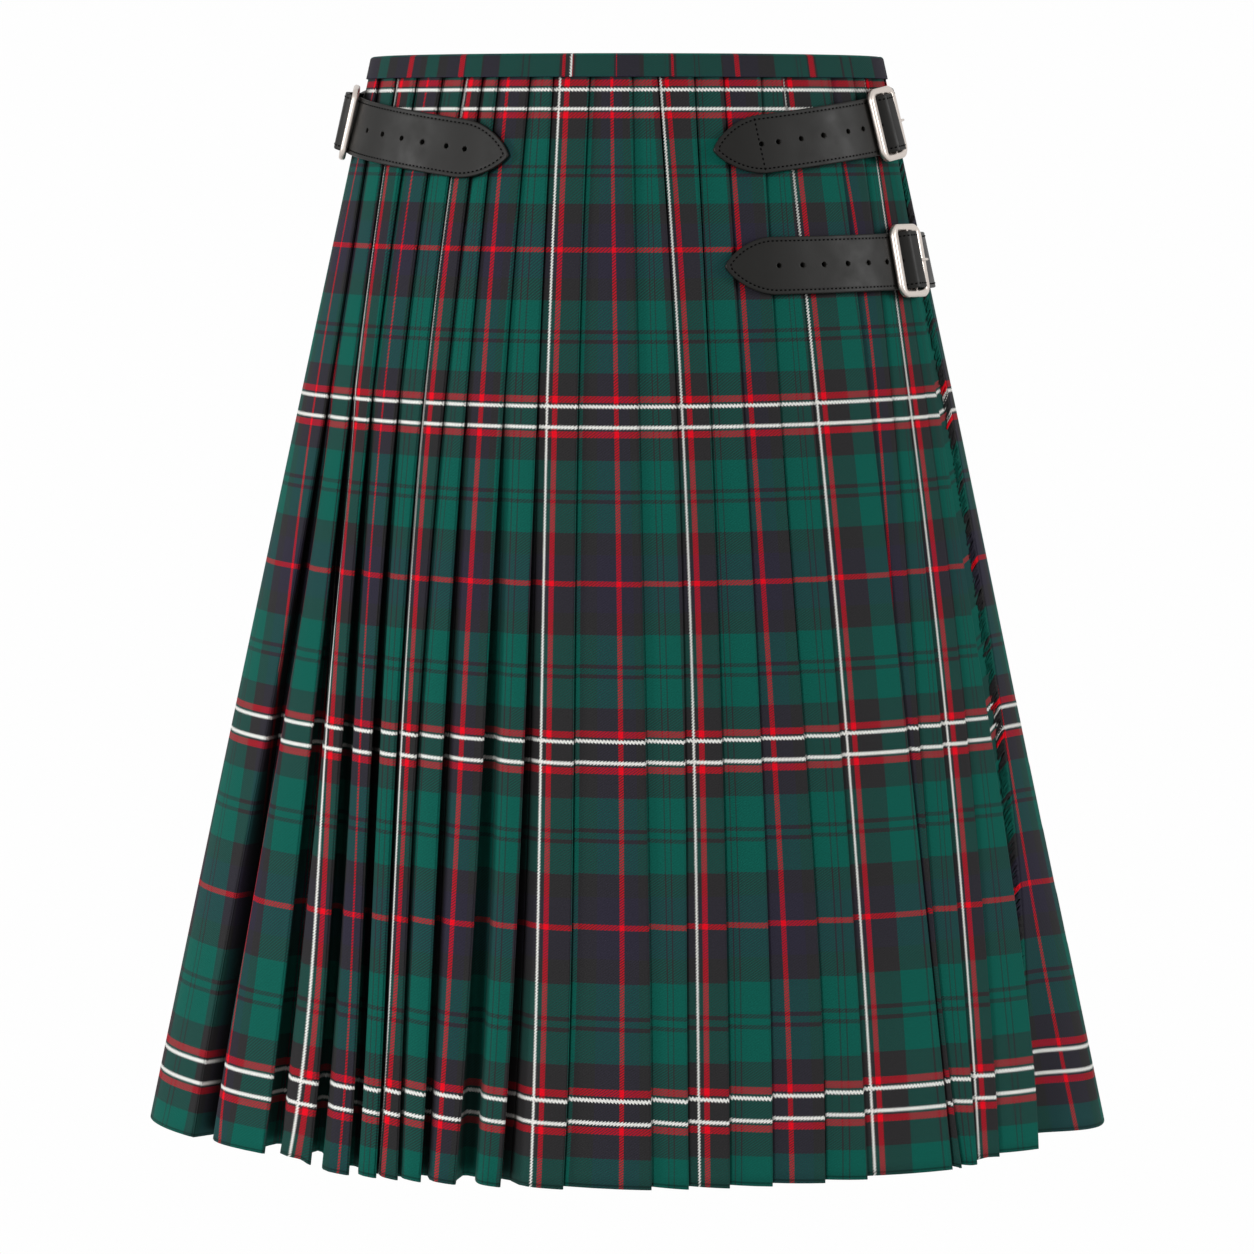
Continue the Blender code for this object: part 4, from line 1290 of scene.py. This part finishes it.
def tartan(name, fringe=False):
    """Worsted tartan, woven in a two-and-two twill: warp and weft cross in fine diagonal
    ribs, so crossings of two colours blend to a third, and the face is matt with a faint
    bloom of loose fibre."""
    made, tree, shader = new_material(name)
    sett = first_out(tree, "ShaderNodeUVMap", uv_map="cloth")
    weave = first_out(tree, "ShaderNodeUVMap", uv_map="weave")
    cloth = add(tree, "ShaderNodeSeparateXYZ", {0: sett})
    thread = add(tree, "ShaderNodeSeparateXYZ", {0: weave})
    warp, warp_folded = sett_colour(tree, cloth.outputs["X"], WARP_LINE)
    weft, weft_folded = sett_colour(tree, cloth.outputs["Y"], WEFT_LINE)
    diagonal = math_node(tree, "ADD", thread.outputs["X"], thread.outputs["Y"])
    ridge = math_node(tree, "DIVIDE", math_node(tree, "PINGPONG", diagonal, TWILL / 2 * MM),
                      TWILL / 2 * MM)
    over = ranged(tree, ridge, RIB_BLEND, interpolation_type="SMOOTHSTEP")
    if fringe:
        over = math_node(tree, "MULTIPLY", over, 0.0)
    # Threads side by side shade one another, so a crossing is darker than the mean
    deep = [first_out(tree, "ShaderNodeGamma", {0: tone, 1: 0.5}) for tone in (weft, warp)]
    ground = first_out(tree, "ShaderNodeGamma", {0: mixed(tree, over, *deep), 1: 2.0})
    warp_white = white_line(tree, warp_folded, thread.outputs["Y"], WARP_WHITE)
    weft_white = white_line(tree, weft_folded, thread.outputs["X"], WEFT_WHITE)
    if fringe:
        warp_white = math_node(tree, "MULTIPLY", warp_white, 0.0)
    white = math_node(tree, "MAXIMUM", warp_white, weft_white)
    cover = math_node(tree, "MULTIPLY", white, WHITE_COVER)
    colour = mixed(tree, cover, ground, linear(THREADS["white"]))
    fibre = noise(tree, weave, 1 / (YARN * MM), Detail=3.0, Roughness=0.6)
    # The yarn's own uneven tone, times painted shade along the low side of each twill rib
    shade = math_node(tree, "MULTIPLY", ranged(tree, fibre, FIBRE_SHADE),
                      ranged(tree, ridge, RIB_SHADE))
    # Painted shade of a groove: a thin band just above the hem is darkened
    from_hem_line = math_node(tree, "SUBTRACT", thread.outputs["Y"], KILT_DROP - HEM_LINE_UP * MM)
    hem_line = math_node(tree, "COMPARE", from_hem_line, 0.0, HEM_LINE * MM)
    shade = math_node(tree, "MULTIPLY", shade,
                      math_node(tree, "MULTIPLY_ADD", hem_line, HEM_LINE_SHADE, 1.0))
    if not fringe:
        # Painted shade: the colour is darkened by ambient occlusion deep between the pleats, where
        # hardly any light comes back out
        fold_occlusion = add(tree, "ShaderNodeAmbientOcclusion", {"Distance": FOLD_DARK}, samples=8)
        shade = math_node(tree, "MULTIPLY", shade, ranged(tree, fold_occlusion.outputs["AO"], FOLD_SHADE))
    shaded = add(tree, "ShaderNodeVectorMath", {0: colour, "Scale": shade}, operation="SCALE")
    height = math_node(tree, "ADD", math_node(tree, "MULTIPLY", ridge, 0.6), fibre)
    feed(tree, shader, {
        "Base Color": shaded.outputs[0],
        "Normal": bumped(tree, height, strength=0.6, depth=0.12),
        "Roughness": 0.82, "Specular IOR Level": 0.08, "Sheen Weight": 0.02,
        "Sheen Roughness": 0.5,
    })
    return made


def leather():
    """Black bridle leather, dyed through and waxed: a fine pebbled grain under a satin
    finish that catches soft highlights along the beads."""
    made, tree, shader = new_material("black_bridle_leather")
    spot = add(tree, "ShaderNodeTexCoord").outputs["Object"]
    grain = add(tree, "ShaderNodeTexVoronoi", {"Vector": spot, "Scale": 1 / (0.7 * MM)},
                feature="SMOOTH_F1").outputs["Distance"]
    wear = noise(tree, spot, 90.0, Detail=4.0)
    feed(tree, shader, {
        "Base Color": linear("#171614"),
        "Normal": bumped(tree, grain, strength=0.25, depth=0.08),
        "Roughness": ranged(tree, wear, ((0.3, 0.7), (0.40, 0.52))), "Specular IOR Level": 0.2,
    })
    return made


def waxed_thread():
    """Black waxed linen thread: two plies twisted together, with a dull gloss."""
    made, tree, shader = new_material("waxed_linen_thread")
    spot = add(tree, "ShaderNodeTexCoord").outputs["Object"]
    twist = noise(tree, spot, 1 / (0.3 * MM))
    feed(tree, shader, {
        "Base Color": linear("#030303"), "Normal": bumped(tree, twist, strength=0.3, depth=0.05),
        "Roughness": 0.7, "Specular IOR Level": 0.03,
    })
    return made


def nickel():
    """Satin nickel plate on a cast frame: a softly brushed, slightly warm grey metal."""
    made, tree, shader = new_material("satin_nickel")
    spot = add(tree, "ShaderNodeTexCoord").outputs["Object"]
    brushed = noise(tree, spot, 2500.0, Detail=2.0)
    feed(tree, shader, {
        "Base Color": linear("#D6CCC4"),
        "Normal": bumped(tree, brushed, strength=0.08, depth=0.02),
        "Roughness": ranged(tree, brushed, ((0.3, 0.7), (0.30, 0.40))), "Metallic": 1.0,
    })
    return made


def backdrop():
    """White seamless paper: dead matt, with the faintest tooth."""
    made, tree, shader = new_material("seamless_paper")
    spot = add(tree, "ShaderNodeTexCoord").outputs["Object"]
    tooth = noise(tree, spot, 400.0)
    feed(tree, shader, {
        "Base Color": linear("#FAFAFA"), "Normal": bumped(tree, tooth, strength=0.05, depth=0.1),
        "Roughness": 0.95,
    })
    return made


# ------------------------------------------------------------------ the kilt's pieces

def cloth_piece(name, node, look, thickness, grid, across, drops):
    """One sheet of cloth in place of its solid."""
    made = add_object(name, grid_mesh(name, grid, across, drops), look)
    thicken(made, thickness)
    return belong(made, "tartan", node)


def belong(made, look, *nodes):
    """Tie a piece to the part's body and hide the solids it stands for."""
    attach(made, "root")
    if nodes:
        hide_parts(*nodes)
    return made


def add_cloth(look, fringe_look):
    """The three widths of cloth, the waistband and the fringe."""
    drops = LEVELS[:, None]
    pleated = cloth_piece("cloth_pleated_back", "pleated_back", look, CLOTH,
                          *pleated_grid(), drops)
    over = cloth_piece("cloth_over_apron", "over_apron", look, CLOTH,
                       *over_apron_grid(), drops)
    under = cloth_piece("cloth_under_apron", "under_apron", look, CLOTH,
                        *under_apron_grid(), drops)
    bands = [
        cloth_piece("binding_outer", "waistband_outer", look, BAND,
                    *band_grid(EDGE[0], BAND_SPLIT)),
        cloth_piece("binding_inner", "waistband_inner", look, BAND,
                    *band_grid(BAND_SPLIT + BAND_BUTT, UNDER_EDGE)),
    ]
    fringe = belong(add_object("fringe_over_apron", fringe_mesh(), fringe_look),
                    "tartan", "apron_fringe")


def add_strap(row, leather_look, nickel_look, thread_look, tree):
    """One strap with its stitches, buckle and prong."""
    line = StrapLine(row)
    strap = add_object(f"leather_{row.name}", strap_mesh(line), leather_look)
    punch(strap, line)
    belong(strap, "leather", f"strap_{row.name}")
    belong(sew(f"stitches_{row.name}", stitch_line(line), tree, thread_look), "leather")
    if row is STRAPS[0]:
        side = np.linspace(-STRAP_WIDTH / 2 + GROOVE_IN, STRAP_WIDTH / 2 - GROOVE_IN, 9)
        seam = line.on_cloth(CROSS_SEAM, strap_lift(np.array(CROSS_SEAM)) + LEATHER, side)
        belong(sew(f"seam_{row.name}", seam, tree, thread_look), "leather")
    for label, mesh in (("buckle", buckle_mesh()), ("prong", prong_mesh(PRONG / 2))):
        made = add_object(f"nickel_{label}_{row.name}", mesh, nickel_look)
        mesh.transform(line.buckle)
        belong(made, "nickel", f"{label}_{row.name}")


# ------------------------------------------------------------------ camera and light

def aim(made, spot, target):
    """Place an object and turn its -Z toward a target."""
    made.location = spot
    made.rotation_euler = (Vector(target) - Vector(spot)).to_track_quat("-Z", "Y").to_euler()
    bpy.context.scene.collection.objects.link(made)


def soft_light(name, spot, size, watts):
    """Large white softbox, turned toward the kilt."""
    data = bpy.data.lights.new(name, "AREA")
    data.shape = "RECTANGLE"
    data.size, data.size_y = size
    data.energy = watts
    made = bpy.data.objects.new(name, data)
    aim(made, spot, LIT_SPOT)


def add_stage():
    """Camera, soft studio light and a plain pale floor below the kilt."""
    scene = bpy.context.scene
    data = bpy.data.cameras.new("camera")
    data.lens = CAMERA_LENS
    data.sensor_width = CAMERA_SENSOR
    camera = bpy.data.objects.new("camera", data)
    x, y, z = CAMERA_AT
    aim(camera, CAMERA_AT, (x, y + 1.0, z - CAMERA_SLOPE))
    scene.camera = camera

    shape = bmesh.new()
    bmesh.ops.create_circle(shape, cap_ends=True, segments=96, radius=FLOOR_RADIUS)
    floor = add_object("floor", bmesh_mesh("floor", shape), backdrop())
    floor.location = (0.0, 0.0, FLOOR)

    world = bpy.data.worlds.new("white_studio")
    world.use_nodes = True
    tree = world.node_tree
    # The studio's walls are white to the camera and in polished metal; the cloth gets
    # only the little light that reaches it from them
    ray = add(tree, "ShaderNodeLightPath").outputs
    in_metal = math_node(tree, "MULTIPLY", ray["Is Glossy Ray"], MIRRORED)
    seen = math_node(tree, "MAXIMUM", ray["Is Camera Ray"], in_metal)
    feed(tree, tree.nodes["Background"], {
        "Strength": math_node(tree, "MAXIMUM", seen, AMBIENT), "Color": linear("#FEFEFE"),
    })
    scene.world = world
    scene.view_settings.view_transform = "Standard"
    for light in LIGHTS:
        soft_light(*light)


def build():
    """Make every piece of the kilt and its studio."""
    wool = tartan("worsted_tartan")
    hide, plate = leather(), nickel()
    add_cloth(wool, tartan("worsted_tartan_ends", fringe=True))
    thread = waxed_thread()
    tree = stitch_tree(thread)
    for row in STRAPS:
        add_strap(row, hide, plate, thread, tree)
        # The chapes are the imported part's own solids
        for own in bpy.data.objects[f"chape_{row.name}"].material_slots:
            own.material = hide
    add_stage()


build()
